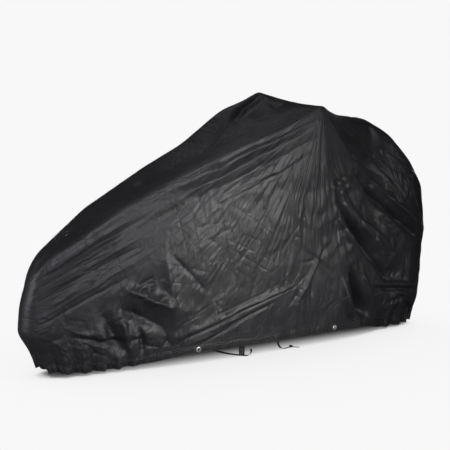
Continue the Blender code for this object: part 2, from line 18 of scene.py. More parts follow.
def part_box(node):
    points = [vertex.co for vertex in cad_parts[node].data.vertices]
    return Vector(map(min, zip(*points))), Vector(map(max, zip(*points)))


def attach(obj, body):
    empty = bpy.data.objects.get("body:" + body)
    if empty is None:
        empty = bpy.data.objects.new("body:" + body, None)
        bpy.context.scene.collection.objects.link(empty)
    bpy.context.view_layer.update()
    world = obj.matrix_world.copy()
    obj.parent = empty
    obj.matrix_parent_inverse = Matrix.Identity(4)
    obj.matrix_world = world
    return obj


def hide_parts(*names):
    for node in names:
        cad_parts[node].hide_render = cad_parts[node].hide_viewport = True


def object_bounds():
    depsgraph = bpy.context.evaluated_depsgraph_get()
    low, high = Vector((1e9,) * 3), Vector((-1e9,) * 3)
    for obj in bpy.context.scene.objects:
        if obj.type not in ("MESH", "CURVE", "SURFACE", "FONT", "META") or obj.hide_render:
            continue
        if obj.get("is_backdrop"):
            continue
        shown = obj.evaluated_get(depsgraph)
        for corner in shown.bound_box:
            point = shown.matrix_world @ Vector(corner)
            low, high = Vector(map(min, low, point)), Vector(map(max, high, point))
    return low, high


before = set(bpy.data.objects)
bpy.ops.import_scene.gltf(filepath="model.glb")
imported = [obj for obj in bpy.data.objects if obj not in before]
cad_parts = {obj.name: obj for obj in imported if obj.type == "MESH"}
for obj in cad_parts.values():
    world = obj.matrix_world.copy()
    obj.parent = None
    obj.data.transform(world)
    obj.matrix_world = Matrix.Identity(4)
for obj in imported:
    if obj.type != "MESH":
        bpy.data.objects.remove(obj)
cad_box = [list(corner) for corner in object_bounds()]
print("packed model:", len(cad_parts), "nodes,", np.round(np.subtract(*cad_box[::-1]), 3), "m")

# %% [markdown]
# ## Camera
# The photograph was taken from the front left with a long lens, a little above the cover. A camera
# could be placed by eye, but here it was worked out from the lengths that a cargo bicycle has, so
# the ends of the handlebar, the hem and the two wheels fall where the photograph has them.

# %% Camera
CAMERA_PLACE = (-4.02, -5.72, 1.61)
CAMERA_YAW, CAMERA_PITCH = 0.604, 0.1402
LENS, SENSOR = 112, 36


def linked(name, data):
    """A new object in the scene."""
    made = bpy.data.objects.new(name, data)
    bpy.context.scene.collection.objects.link(made)
    return made


camera = linked("camera", bpy.data.cameras.new("camera"))
camera.location = CAMERA_PLACE
camera.rotation_euler = (math.pi / 2 - CAMERA_PITCH, 0, -CAMERA_YAW)
camera.data.lens, camera.data.sensor_width = LENS, SENSOR
bpy.context.scene.camera = camera

# %% [markdown]
# ## Studio
# Black coated cloth has hardly any colour of its own: what shows is the reflection of the lights.
# So the studio matters as much as the cloth. A plain white room would light every fold alike. Here
# the room itself is dim, and soft lights stand where the bright parts of the cloth look. The key
# and sheen lights are for the middle of the side, the rear light for the folds behind the
# handlebar, the top and back lights for the ridges, and the nose light for the edge of the nose.
# A faint violet fill tints the slope of the nose. The last two light the far side and the tail.

# %% Studio
BACKGROUND = 0.939          # the pale background as the camera sees it
ROOM_GLOW = 0.021           # what the room gives to the cloth
Softbox = namedtuple("Softbox", "name place aim size power spread colour")
SOFTBOXES = [       # a spread below 180 degrees is a softbox with a grid in front
    Softbox("key light", (-1.7, -3.6, 1.5), (-.15, -.2, .50), (1.0, 1.0), 4.5, 54, (1, .99, .97)),
    Softbox("sheen light", (1.2, -3.0, .9), (-.22, -.2, .58), (.9, 1.0), 5.3, 42, (1, .99, .98)),
    Softbox("rear light", (2.1, -3.0, .8), (.97, -.15, .5), (.30, 1.2), .75, 34, (1, .99, 1)),
    Softbox("top light", (-.5, .2, 3.6), (-.3, 0, .8), (2.0, 1.2), 9, 180, (.97, .97, 1)),
    Softbox("back light", (.9, 2.2, 2.7), (-.1, .05, 1.0), (.7, .7), .26, 90, (.97, .96, 1)),
    Softbox("nose light", (-4.2, .4, 1.3), (-1.0, 0, .5), (1.6, 2.0), 62, 180, (.96, .97, 1)),
    Softbox("front fill", (-3.2, -5.6, 2.6), (-.6, 0, .6), (2.4, 2.0), 20, 90, (.84, .79, 1)),
    Softbox("far side light", (.6, 4.2, .75), (-.05, .25, .55), (1.4, 1.2), 9, 70, (1, .99, .98)),
    Softbox("tail light", (3.8, 2.2, .7), (1.15, .06, .50), (.8, 1.2), 2.5, 50, (1, .99, .98)),
]


def add_softbox(box):
    light = bpy.data.lights.new(box.name, "AREA")
    light.shape = "RECTANGLE"
    light.size, light.size_y = box.size
    light.energy, light.color, light.spread = box.power, box.colour, math.radians(box.spread)
    made = linked(box.name, light)
    made.location = box.place
    towards = Vector(box.aim) - Vector(box.place)
    made.rotation_euler = towards.to_track_quat("-Z", "Y").to_euler()
    made.visible_camera = False


for softbox in SOFTBOXES:
    add_softbox(softbox)

world = bpy.data.worlds.new("studio")
world.use_nodes = True
bpy.context.scene.world = world
nodes, links = world.node_tree.nodes, world.node_tree.links
ray = nodes.new("ShaderNodeLightPath")
seen = nodes.new("ShaderNodeBackground")
seen.inputs["Color"].default_value = (BACKGROUND, BACKGROUND, BACKGROUND, 1)
nodes["Background"].inputs["Color"].default_value = (ROOM_GLOW, ROOM_GLOW, ROOM_GLOW, 1)
choose = nodes.new("ShaderNodeMixShader")
links.new(ray.outputs["Is Camera Ray"], choose.inputs["Fac"])
links.new(nodes["Background"].outputs["Background"], choose.inputs[1])
links.new(seen.outputs["Background"], choose.inputs[2])
links.new(choose.outputs["Shader"], nodes["World Output"].inputs["Surface"])

view = bpy.context.scene.view_settings
view.view_transform, view.look = "Standard", "None"


# %% [markdown]
# ## A short way to write shader maths
# Long node trees are hard to read. One small class wraps a socket, so that `a * .3 + b` adds the
# Math nodes, and one method adds any other node with its settings and inputs.

# %% Shader helper
def link_or_set(tree, socket, value):
    if isinstance(value, Value):
        tree.links.new(value.socket, socket)
    elif value is not None:
        socket.default_value = value


class Value:
    """A socket's output that can be written in an expression."""

    def __init__(self, tree, socket):
        self.tree, self.socket = tree, socket

    def math(self, operation, *others):
        made = self.tree.nodes.new("ShaderNodeMath")
        made.operation = operation
        for socket, value in zip(made.inputs, (self, *others)):
            link_or_set(self.tree, socket, value)
        return Value(self.tree, made.outputs[0])

    def __add__(self, other):
        return self.math("ADD", other)

    def __mul__(self, other):
        return self.math("MULTIPLY", other)

    def __sub__(self, other):
        return self.math("SUBTRACT", other)

    def __rsub__(self, other):
        return (self * -1) + other

    __radd__, __rmul__ = __add__, __mul__


class Finish:
    """A material with its Principled shader, and one method that adds any node."""

    def __init__(self, name, **constants):
        self.material = bpy.data.materials.new(name)
        self.material.use_nodes = True
        self.tree = self.material.node_tree
        self.shader = self.tree.nodes["Principled BSDF"]
        for socket, value in constants.items():
            self.shader.inputs[socket.replace("_", " ")].default_value = value

    def node(self, kind, output=0, settings=None, **inputs):
        made = self.tree.nodes.new("ShaderNode" + kind)
        for key, value in (settings or {}).items():
            setattr(made, key, value)
        for key, value in inputs.items():
            link_or_set(self.tree, made.inputs[key.replace("_", " ")], value)
        return Value(self.tree, made.outputs[output])

    def feed(self, socket, value):
        self.tree.links.new(value.socket, self.shader.inputs[socket])

    def place(self):
        return self.node("TexCoord", "Object")

    def map(self, name):
        return self.node("UVMap", 0, {"uv_map": name})

    def cloud(self, where, scale, detail, rough=.5, distortion=0):
        return self.node("TexNoise", 0, Vector=where, Scale=scale, Detail=detail, Roughness=rough,
                         Distortion=distortion)

    def ease(self, value, low, high, start=0):
        """Goes smoothly from start to 1 as the value goes from low to high."""
        return self.node("MapRange", 0, {"interpolation_type": "SMOOTHSTEP"}, Value=value, From_Min=low,
                         From_Max=high, To_Min=start)

    def relief(self, height, strength, distance):
        self.feed("Normal", self.node("Bump", 0, Height=height, Strength=strength, Distance=distance))


# %% [markdown]
# ## Floor
# The floor is as white as the background, so that only a thin soft shadow under the hem shows.
# A plain diffuse plane would turn grey with distance from the lights. So to the camera this floor
# glows at the background's own level, darkened only where something stands over it, which the
# Ambient Occlusion node finds, and most on the far side of the hem, which the front light does not
# reach. To the cloth it is a plain pale floor that throws light back up.

# %% Floor
FLOOR_SIZE = 200
FLOOR_PALE = 0.18
SHADOW_REACH, SHADOW_DEPTH, SHADE_DEPTH = 1.6, 0.96, 0.38
SHADOW_FROM, SHADOW_FULL = .48, .16         # how open the floor is where the shadow starts, and is full
NEAR_EDGE, FAR_EDGE, NEAR_SHARE = -.22, 0, .06      # the shadow grows from this y to that y


def added(name, primitive, **settings):
    """Adds one of Blender's primitives, with nothing else selected."""
    bpy.ops.object.select_all(action="DESELECT")
    getattr(bpy.ops.mesh, f"primitive_{primitive}_add")(**settings)
    made = bpy.context.active_object
    made.name = made.data.name = name
    return made


floor = added("floor", "plane", size=FLOOR_SIZE)
pale = Finish("pale floor", Base_Color=(FLOOR_PALE, FLOOR_PALE, FLOOR_PALE, 1), Roughness=.9)
open_above = pale.node("AmbientOcclusion", "AO", {"samples": 8}, Distance=SHADOW_REACH)
under = pale.ease(open_above, SHADOW_FROM, SHADOW_FULL)
inwards = pale.ease(pale.node("SeparateXYZ", "Y", Vector=pale.place()), NEAR_EDGE, FAR_EDGE, NEAR_SHARE)
shade = (1 - open_above).math("POWER", 2.0)
level = (1 - under * inwards * SHADOW_DEPTH) * (1 - shade * SHADE_DEPTH) * BACKGROUND
glow = pale.node("Emission", Strength=level, Color=(1, 1, 1, 1))
mixed = pale.tree.nodes.new("ShaderNodeMixShader")
link_or_set(pale.tree, mixed.inputs["Fac"], pale.node("LightPath", "Is Camera Ray"))
pale.tree.links.new(pale.shader.outputs[0], mixed.inputs[1])
pale.tree.links.new(glow.socket, mixed.inputs[2])
pale.tree.links.new(mixed.outputs[0], pale.tree.nodes["Material Output"].inputs["Surface"])
floor.data.materials.append(pale.material)
floor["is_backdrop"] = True

# %% [markdown]
# ## The smooth form of the cloth
# A cover is cut from flat panels, but over the bicycle it takes one closed form, and that is easier
# to describe by its sections from nose to tail. Each section names the corners where the cloth
# turns: hem, knee, waist, the ridge pulled tight towards the handlebar, and the crown. The whole
# cloth is one grid. A row runs from the left hem over the top to the right hem, and the rows follow
# each other from the nose to the tail.

# %% Sections
LENGTH, WIDTH, CLOTH = 2.44, 0.71, 0.002
BAND_HEIGHT = 0.036
# Each row has the hem, the knee, the waist, the ridge and the crown. A corner is its distance from
# the nose, its half width and its height.
SECTION_ROWS = """
nose seam: .12 0 .036  .002 0 .21  .013 0 .33  .053 0 .47  .1 0 .557
nose corner: .118 .05 .034  .014 .055 .21  .025 .055 .33  .069 .048 .488  .13 0 .574
wheel front: .16 .088 .024  .097 .1 .21  .107 .095 .35  .127 .072 .568  .2 0 .615
wheel middle: .27 .108 .016  .25 .135 .2  .25 .135 .4  .257 .112 .648  .31 0 .68
wheel back: .42 .125 .016  .42 .16 .2  .42 .17 .46  .425 .152 .77  .455 0 .762
box front: .6 .165 .03  .6 .2 .22  .6 .215 .51  .605 .192 .858  .625 0 .842
box: .8 .205 .054  .8 .225 .25  .8 .245 .56  .805 .232 .962  .825 0 .925
box back: 1.03 .212 .052  1.03 .235 .26  1.03 .262 .61  1.03 .272 1.062  1.045 0 1.005
step: 1.27 .212 .055  1.27 .238 .27  1.28 .275 .63  1.28 .315 1.152  1.29 0 1.12
bars: 1.5 .212 .06  1.5 .235 .28  1.5 .272 .66  1.485 .355 1.232  1.54 0 1.24
legs: 1.72 .202 .056  1.72 .222 .28  1.72 .246 .65  1.72 .228 1.16  1.75 0 1.168
saddle: 1.91 .18 .052  1.92 .185 .27  1.94 .186 .62  2 .082 1.118  2.035 0 1.132
rack: 2.06 .118 .014  2.1 .152 .24  2.13 .162 .58  2.15 .088 1.04  2.165 0 1.066
rack back: 2.23 .098 .01  2.26 .138 .2  2.3 .15 .55  2.285 .095 .905  2.29 0 .93
tail corner: 2.33 .058 .022  2.378 .078 .16  2.408 .088 .53  2.398 .072 .755  2.375 0 .805
tail seam: 2.345 0 .03  2.392 0 .16  2.426 0 .51  2.44 0 .655  2.412 0 .735
"""
SECTIONS = {}
for row in SECTION_ROWS.strip().splitlines():
    name, numbers = row.split(":")
    SECTIONS[name] = np.array(numbers.split(), float).reshape(5, 3)
RIGHT_RIDGE = {     # the handlebar is turned, so the right ridge lies (back, up) from the left one
    "wheel back": (0, -.012), "box front": (0, -.020), "box": (0, -.030), "box back": (.02, -.028),
    "step": (.050, .054), "bars": (.118, .042), "legs": (.060, .020)}
SOFTNESS, PEAK_SOFTNESS, PEAK_REACH = .026, .009, .10


def cage():
    """The corners of every section, from the left hem over the top to the right hem."""
    rows = []
    for name, (hem, knee, waist, ridge, crown) in SECTIONS.items():
        band_top = hem + (knee - hem) / np.linalg.norm(knee - hem) * BAND_HEIGHT
        left = np.array([hem, band_top, knee, waist, ridge])
        right = left.copy()
        back, up = RIGHT_RIDGE.get(name, (0, 0))
        right[-1] += (back, 0, up)
        left[:, 1] *= -1
        rows.append(np.vstack([left, [crown], right[::-1]]))
    return np.array(rows)


corners = cage()
print("sections:", len(SECTIONS), "with", corners.shape[1], "corners each")


# %% Helpers for a grid of points
def smoothstep(value, low, high):
    t = np.clip((value - low) / (high - low), 0, 1)
    return t * t * (3 - 2 * t)


def distances(points, axis):
    """The mean distance travelled from one line of points to the next."""
    steps = np.linalg.norm(np.diff(points, axis=axis), axis=2).mean(axis=1 - axis)
    return np.concatenate([[0], np.cumsum(steps)])


def between(lines, known, wanted):
    """Lines of points at the wanted distances, on straight runs between the known ones."""
    flat = lines.reshape(len(known), -1)
    columns = [np.interp(wanted, known, column) for column in flat.T]
    return np.stack(columns, axis=1).reshape(len(wanted), *lines.shape[1:])


def past_seams(grid, count):
    """The grid with lines added at both ends, where the cloth goes on as its other side."""
    return np.concatenate([grid[count:0:-1, ::-1], grid, grid[-2:-count - 2:-1, ::-1]])


def past_hems(grid, count):
    """The grid with lines added at both hems, straight on from the hem."""
    grid = grid.swapaxes(0, 1)
    before = 2 * grid[:1] - grid[count:0:-1]
    after = 2 * grid[-1:] - grid[-2:-count - 2:-1]
    return np.concatenate([before, grid, after])


def blur(longer, count, sigma):
    """Averages each line with its neighbours, and drops the lines that were added at the ends."""
    weights = np.exp(-0.5 * (np.arange(-count, count + 1) / sigma) ** 2)
    weights /= weights.sum()
    length = len(longer) - 2 * count
    return sum(w * longer[k:k + length] for k, w in enumerate(weights))


def soften(grid, sigma_rows, sigma_columns):
    """Rounds the grid off in both directions."""
    count = math.ceil(3 * sigma_rows)
    grid = blur(past_seams(grid, count), count, sigma_rows)
    count = math.ceil(3 * sigma_columns)
    return blur(past_hems(grid, count), count, sigma_columns).swapaxes(0, 1)


def outward(grid):
    """Unit normals of the grid, pointing out of the cover."""
    along = np.gradient(past_seams(grid, 1), axis=0)[1:-1]
    normal = np.cross(along, np.gradient(grid, axis=1))
    return normal / np.maximum(np.linalg.norm(normal, axis=2, keepdims=True), 1e-12)


# %% [markdown]
# A blur of the straight-sided form rounds every corner by the same few centimetres, as a tight
# cloth does. Near the handlebar ends the cloth is pulled over something small, so less blur there.

# %% The smooth form
ROWS, COLUMNS = 426, 460            # quads from nose to tail, and from hem to hem
row_places, column_places = distances(corners, 0), distances(corners, 1)
rows = np.linspace(0, row_places[-1], ROWS + 1)
columns = np.linspace(0, column_places[-1], COLUMNS + 1)
ridge_column = column_places[4]
middle_column = columns[-1] / 2
from_hem = np.minimum(columns, columns[-1] - columns)[None, :]
is_left = columns[None, :] < middle_column


def smooth_form():
    grid = between(corners, row_places, rows)
    grid = between(grid.swapaxes(0, 1), column_places, columns).swapaxes(0, 1)
    near_peak = np.zeros(grid.shape[:2] + (1,))
    for column in (4, -5):
        peak = corners[list(SECTIONS).index("bars"), column]
        reach = np.linalg.norm(grid - peak, axis=2, keepdims=True) / PEAK_REACH
        near_peak += np.exp(-reach ** 2)
    soft = soften(grid, SOFTNESS / rows[1], SOFTNESS / columns[1])
    tight = soften(grid, PEAK_SOFTNESS / rows[1], PEAK_SOFTNESS / columns[1])
    return soft * (1 - near_peak) + tight * near_peak


form = smooth_form()
form_normals = outward(form)
print("smooth form:", form.shape[0] * form.shape[1], "points, one every",
      round(rows[1] * 1000, 1), "x", round(columns[1] * 1000, 1), "mm")


# %% [markdown]
# ## Folds
# Cloth that is pulled between two points makes long folds along the line of pull: a ridge, and a
# trough beside it. They could be sculpted, but a table is easier to read and to change. Each row
# says where a fold starts and ends on the side of the cover, how wide and how high it is, how far
# it bows, and how sharp its crest is: 0 is round as a wave, 1 is pinched to a crease.

# %% Tables of folds
Fold = namedtuple("Fold", "start_a start_b end_a end_b width_start width_end height bow lean crisp")


def table(kind, text):
    """Reads rows of numbers. What follows a # is a note."""
    rows = [line.split("#")[0].split() for line in text.splitlines()]
    return [kind(*map(float, row)) for row in rows if row]


LEFT_FOLDS = table(Fold, """
# from the handlebar end, forwards and down
1.46 1.155  .5 .78  .014 .044 -.016 0 .8 .2
1.45 1.118  .53 .742  .012 .04 .006 0 .8 .3
1.46 1.07  .54 .69  .012 .04 -.01 .004 .8 .2
1.44 1.025  .8 .7  .01 .026 .004 .004 .8 .4
1.42 .985  .84 .735  .007 .014 -.006 .006 .8 .8
1.4 1.14  .9 .93  .005 .009 -.004 .003 .9 .9
1.36 1.095  .72 .815  .005 .01 .004 .004 .9 .9
1.3 .93  .92 .8  .005 .008 -.005 .004 1 .9
# from the handlebar end, back and down
1.49 1.19  1.6 .7  .012 .034 .009 0 .7 .5
1.484 1.19  1.52 .86  .008 .02 -.005 0 .7 .7
1.492 1.18  1.74 .76  .012 .026 -.014 0 .7 .6
1.5 1.18  1.79 .72  .012 .026 .012 0 .7 .5
1.51 1.18  1.83 .66  .012 .024 -.016 0 .7 .6
1.52 1.19  1.93 .74  .014 .028 .012 0 .8 .5
1.54 1.19  2.1 .8  .012 .026 -.022 0 .8 .8
1.56 1.19  2.16 .84  .01 .02 .014 0 .8 .8
1.53 1.18  1.98 .76  .008 .016 .008 0 .8 .8
1.515 1.18  1.72 .72  .007 .014 .007 0 .8 .8
1.56 1.18  2.3 .86  .007 .014 -.008 0 .8 .9
1.6 .93  1.7 .66  .014 .018 -.032 .006 1 .8
1.57 .91  1.655 .67  .012 .014 .014 .006 1 .7
1.52 .86  1.55 .58  .007 .009 .007 .004 1 .9
1.46 .84  1.47 .6  .006 .009 .006 .004 1 .9
1.39 .8  1.4 .6  .006 .009 -.006 -.004 1 .9
1.66 .74  1.95 .42  .016 .024 -.048 0 1 .8
1.63 .7  1.86 .43  .018 .024 .014 0 1 .5
1.75 .7  2.08 .4  .026 .034 .016 0 1 .2
1.9 .46  2.12 .24  .014 .018 -.016 0 1 .8
1.86 .62  2.14 .42  .012 .016 .01 .006 1 .8
1.8 .87  2.36 .45  .01 .03 -.04 0 1 .8
1.83 .91  2.36 .52  .01 .024 .016 0 1 .7
1.78 .82  2.26 .46  .012 .022 .01 0 1 .5
1.99 1.12  2.08 .94  .01 .012 .013 .008 1 .8
2.07 .965  2.34 .8  .009 .012 .013 0 1 .8
1.9 1.02  2.16 .78  .008 .012 -.01 0 1 .8
1.8 1.05  2.02 .9  .007 .01 .009 0 1 .8
# across the middle
1.44 .345  .64 .095  .012 .04 .012 -.008 .9 .3
1.42 .335  .67 .09  .005 .015 -.015 -.006 .9 .9
1.28 .258  .79 .072  .005 .013 -.012 -.004 1 .9
1.24 .325  .93 .235  .005 .01 -.006 .008 1 .9
1.06 .17  .74 .085  .01 .016 .007 0 1 .5
# the pinch where the cloth catches on the pedal
1.525 .46  1.555 .45  .05 .05 .012 0 1 .1
1.541 .454  1.43 .535  .006 .018 -.007 0 .5 .7
1.541 .454  1.4 .452  .005 .012 -.005 .003 .5 .8
1.541 .454  1.47 .6  .006 .018 -.005 0 .5 .7
1.541 .454  1.62 .54  .006 .016 -.006 0 .5 .7
1.535 .445  1.41 .2  .012 .024 .013 0 .8 .5
1.545 .445  1.5 .2  .008 .018 -.01 0 .8 .6
1.541 .454  1.66 .36  .006 .018 -.006 0 .5 .7
# over the wheels and the box
1.785 .37  1.94 .04  .02 .036 -.06 0 1 .5
1.73 .32  1.81 .06  .018 .026 .02 0 1 .5
1.88 .34  2.02 .1  .014 .018 .012 0 1 .6
1.97 .245  2.34 .2  .011 .012 -.018 -.01 1 .8
1.97 .275  2.34 .23  .018 .02 .018 -.01 1 .3
2.13 .235  2.33 .07  .01 .011 .012 0 1 .8
.035 .378  .58 .66  .007 .018 .007 .006 1 .7
.04 .355  .54 .6  .006 .012 -.006 .006 1 .9
.049 .445  .6 .755  .006 .016 -.007 .004 1 .8
.05 .42  .46 .655  .006 .012 .005 .004 1 .9
.06 .4  .36 .56  .005 .01 -.005 0 1 .9
.066 .295  .54 .535  .006 .018 .007 .004 1 .7
.07 .315  .4 .47  .005 .01 -.005 0 1 .9
.08 .48  .5 .735  .006 .014 .006 .003 1 .8
.07 .265  .5 .46  .006 .016 -.007 .004 1 .8
.465 .405  .7 .285  .03 .036 .038 0 1 .6
.455 .31  .67 .195  .034 .044 -.045 0 1 .5
.36 .3  .48 .08  .026 .04 -.034 0 1 .4
.455 .29  .495 .08  .014 .02 .022 0 1 .6
.52 .27  .575 .06  .012 .018 -.018 0 1 .7
.219 .225  .508 .165  .014 .022 .01 -.01 1 .4
.215 .203  .508 .14  .014 .02 -.018 -.01 1 .5
.654 .56  .711 .17  .022 .03 .012 .01 1 .5
.69 .55  .88 .35  .01 .014 -.008 .004 1 .8
1.334 .82  1.43 .54  .02 .024 .008 0 1 .4
1.415 .83  1.45 .5  .016 .018 -.006 0 1 .5
""")
RIGHT_FOLDS = table(Fold, """
1.54 1.16  .56 .74  .016 .034 -.024 0 .8 .3
1.55 1.11  .6 .69  .016 .034 .013 0 .8 .5
1.57 1.04  .9 .62  .014 .03 -.014 .01 .8 .4
1.6 1.19  1.62 .7  .014 .036 .01 0 .7 .4
1.64 1.18  1.78 .68  .014 .034 -.02 0 .7 .5
1.67 1.17  1.9 .7  .014 .034 .014 0 .7 .5
1.7 1.15  2 .8  .014 .03 -.014 0 .7 .5
1.76 .82  1.92 .4  .026 .034 -.034 0 1 .5
2.02 .88  2.34 .46  .022 .03 -.034 0 1 .5
1.5 .4  .74 .1  .016 .04 .024 -.008 .9 .5
1.52 .44  .76 .15  .014 .034 -.022 -.008 .9 .5
1.84 .36  1.94 .06  .022 .03 -.04 0 1 .4
.06 .34  .6 .6  .014 .036 .013 .004 1 .4
.06 .42  .62 .7  .012 .03 -.01 .004 1 .4
.48 .4  .7 .28  .034 .04 .028 0 1 .5
.5 .3  .66 .2  .034 .04 -.04 0 1 .5
.41 .3  .5 .08  .03 .045 -.026 0 1 .3
.67 .55  .74 .17  .022 .03 .012 .01 1 .5
""")
TOP_FOLDS = table(Fold, """ # (distance from the nose, y)
1.57 .285  1.06 .035  .012 .024 -.022 0 .8 .5
1.5 .205  1.1 .045  .014 .026 .012 0 .8 .4
1.42 .16  1.16 .05  .012 .018 -.01 0 .8 .6
1.44 -.24  .96 -.15  .02 .032 -.012 0 .8 .3
1.36 .1  1.44 -.12  .06 .06 -.014 0 1 .2
1.491 .1  1.424 -.12  .012 .016 -.008 .01 1 .6
.66 .06  .72 .03  .026 .026 -.014 0 1 .4
""")
print("folds:", len(LEFT_FOLDS), "left,", len(RIGHT_FOLDS), "right,", len(TOP_FOLDS), "on top")


# %% [markdown]
# No real fold is a straight line of even height. Before the folds are worked out, the map that they
# are drawn on is bent a little by smooth noise, so that they wander.

# %% Noise
def lattice(a, b, seed):
    """Cell numbers, the place inside each cell, and random values at whole-number places."""
    i, j = np.floor(a).astype(int), np.floor(b).astype(int)
    values = np.random.default_rng(seed).uniform(-1, 1, 4096)

    def at(di, dj):
        return values[((i + di) * 73 + (j + dj) * 179) % 4096]
    return a - i, b - j, at


def noise(a, b, size, seed):
    """Smooth noise from -1 to 1, with bumps of about the given size."""
    u, v, at = lattice(a / size, b / size, seed)
    u, v = u * u * (3 - 2 * u), v * v * (3 - 2 * v)
    low = at(0, 0) * (1 - u) + at(1, 0) * u
    high = at(0, 1) * (1 - u) + at(1, 1) * u
    return low * (1 - v) + high * v


def facets(a, b, size, turn, stretch, seed):
    """Flat three-sided facets that meet in creases, as in crumpled cloth."""
    c, s = math.cos(turn), math.sin(turn)
    p, q = (a * c + b * s) / (size * stretch), (b * c - a * s) / size
    u, v, at = lattice(p - q * .5, q, seed)
    lower = u + v < 1
    near = at(0, 0) * (1 - u - v) + at(1, 0) * u + at(0, 1) * v
    far = at(1, 1) * (u + v - 1) + at(1, 0) * (1 - v) + at(0, 1) * (1 - u)
    return np.where(lower, near, far)


def wander(a, b, seed):
    """The map bent by smooth noise: a few millimetres over a hand's width."""
    bent_a = a + .006 * noise(a, b, .16, seed) + .003 * noise(a, b, .05, seed + 1)
    bent_b = b + .006 * noise(a, b, .16, seed + 2) + .003 * noise(a, b, .05, seed + 3)
    return bent_a, bent_b


# %% The height of the folds
def fold_height(a, b, folds, seed):
    """How far the folds move each point (a, b) out of the smooth form."""
    a, b = wander(a, b, seed)
    uneven = 1 + .35 * noise(a, b, .11, seed + 4)
    total = np.zeros_like(a)
    for fold in folds:
        run = fold.end_a - fold.start_a, fold.end_b - fold.start_b
        length = math.hypot(*run)
        da, db = a - fold.start_a, b - fold.start_b
        t = (da * run[0] + db * run[1]) / length ** 2
        inside = np.clip(t, 0, 1)
        beyond = (t - inside) * length
        sideways = (db * run[0] - da * run[1]) / length - fold.bow * 4 * inside * (1 - inside)
        width = fold.width_start + (fold.width_end - fold.width_start) * inside
        across = (sideways / width) ** 2 + (beyond / width) ** 2
        round_crest = np.exp(-across)
        pinched = np.exp(-1.7 * (np.sqrt(across + .02) - .141))
        profile = round_crest + (pinched - round_crest) * fold.crisp
        taper = np.sin(math.pi * np.clip(inside, .02, .98) ** fold.lean) ** .7
        total += fold.height * taper * profile
    return total * uneven


x_on_form, y_on_form, z_on_form = np.moveaxis(form, 2, 0)
distance = x_on_form                       # distance from the nose, before the form is centred
left_height = fold_height(distance, z_on_form, LEFT_FOLDS, 11)
right_height = fold_height(distance, z_on_form, RIGHT_FOLDS, 31)
top_height = fold_height(distance, y_on_form, TOP_FOLDS, 51)
print("tallest fold:", round(float(left_height.max()) * 1000), "mm, deepest:",
      round(float(left_height.min()) * 1000), "mm")

# %% [markdown]
# ## Crumples
# Between the folds the nylon keeps the creases of the bag that it was stored in. They are flat
# facets with sharp edges, a few centimetres wide and a millimetre or two high, strong on the middle
# of the side and weak where the cloth is tight. Facets of three sizes are added, each turned
# another way, and a table of patches says where they are strong.

# %% Crumples
Patch = namedtuple("Patch", "a b reach_a reach_b amount")
CALM = .25
PATCHES = table(Patch, """
1.15 .50  .50 .36  .85
1.50 .75  .26 .26  .4
.60 .34  .20 .14  1.1
.25 .20  .22 .14  .8
1.75 .60  .25 .35  1.4
2.15 .25  .20 .20  1.4
2.10 .65  .25 .30  1.2
1.10 .95  .22 .12  .5
""")
Crumple = namedtuple("Crumple", "size turn stretch height seed")
CRUMPLES = table(Crumple, """
.110 .45 1.8 .0030 71
.060 -.60 1.5 .0017 72
.055 1.20 1.3 .0015 73
.030 .35 1.6 .0010 74
.026 -.90 1.3 .0009 75
""")


def crumple_height(a, b, seed):
    strength = np.full_like(a, CALM)
    for patch in PATCHES:
        away = ((a - patch.a) / patch.reach_a) ** 2 + ((b - patch.b) / patch.reach_b) ** 2
        strength += patch.amount * np.exp(-away)
    strength *= 1 + .5 * noise(a, b, .13, seed)
    bent_a = a + .018 * noise(a, b, .09, seed + 1) + .006 * noise(a, b, .03, seed + 2)
    bent_b = b + .018 * noise(a, b, .09, seed + 3) + .006 * noise(a, b, .03, seed + 4)
    total = np.zeros_like(a)
    for c in CRUMPLES:
        total += c.height * facets(bent_a, bent_b, c.size, c.turn, c.stretch, int(c.seed) + seed)
    return total * strength


side_crumple = crumple_height(distance, z_on_form, 100)
top_crumple = crumple_height(distance, y_on_form + 3, 140)

# %% [markdown]
# The fine creases are thin, straight and of uneven length, and they follow the pull of the cloth:
# upright under the handlebar, along the long folds lower down, and every way where the cloth is
# slack. Drawing hundreds by hand would fill pages, so a table gives a bundle of them on each row,
# and a seeded random draw places the creases of a bundle.

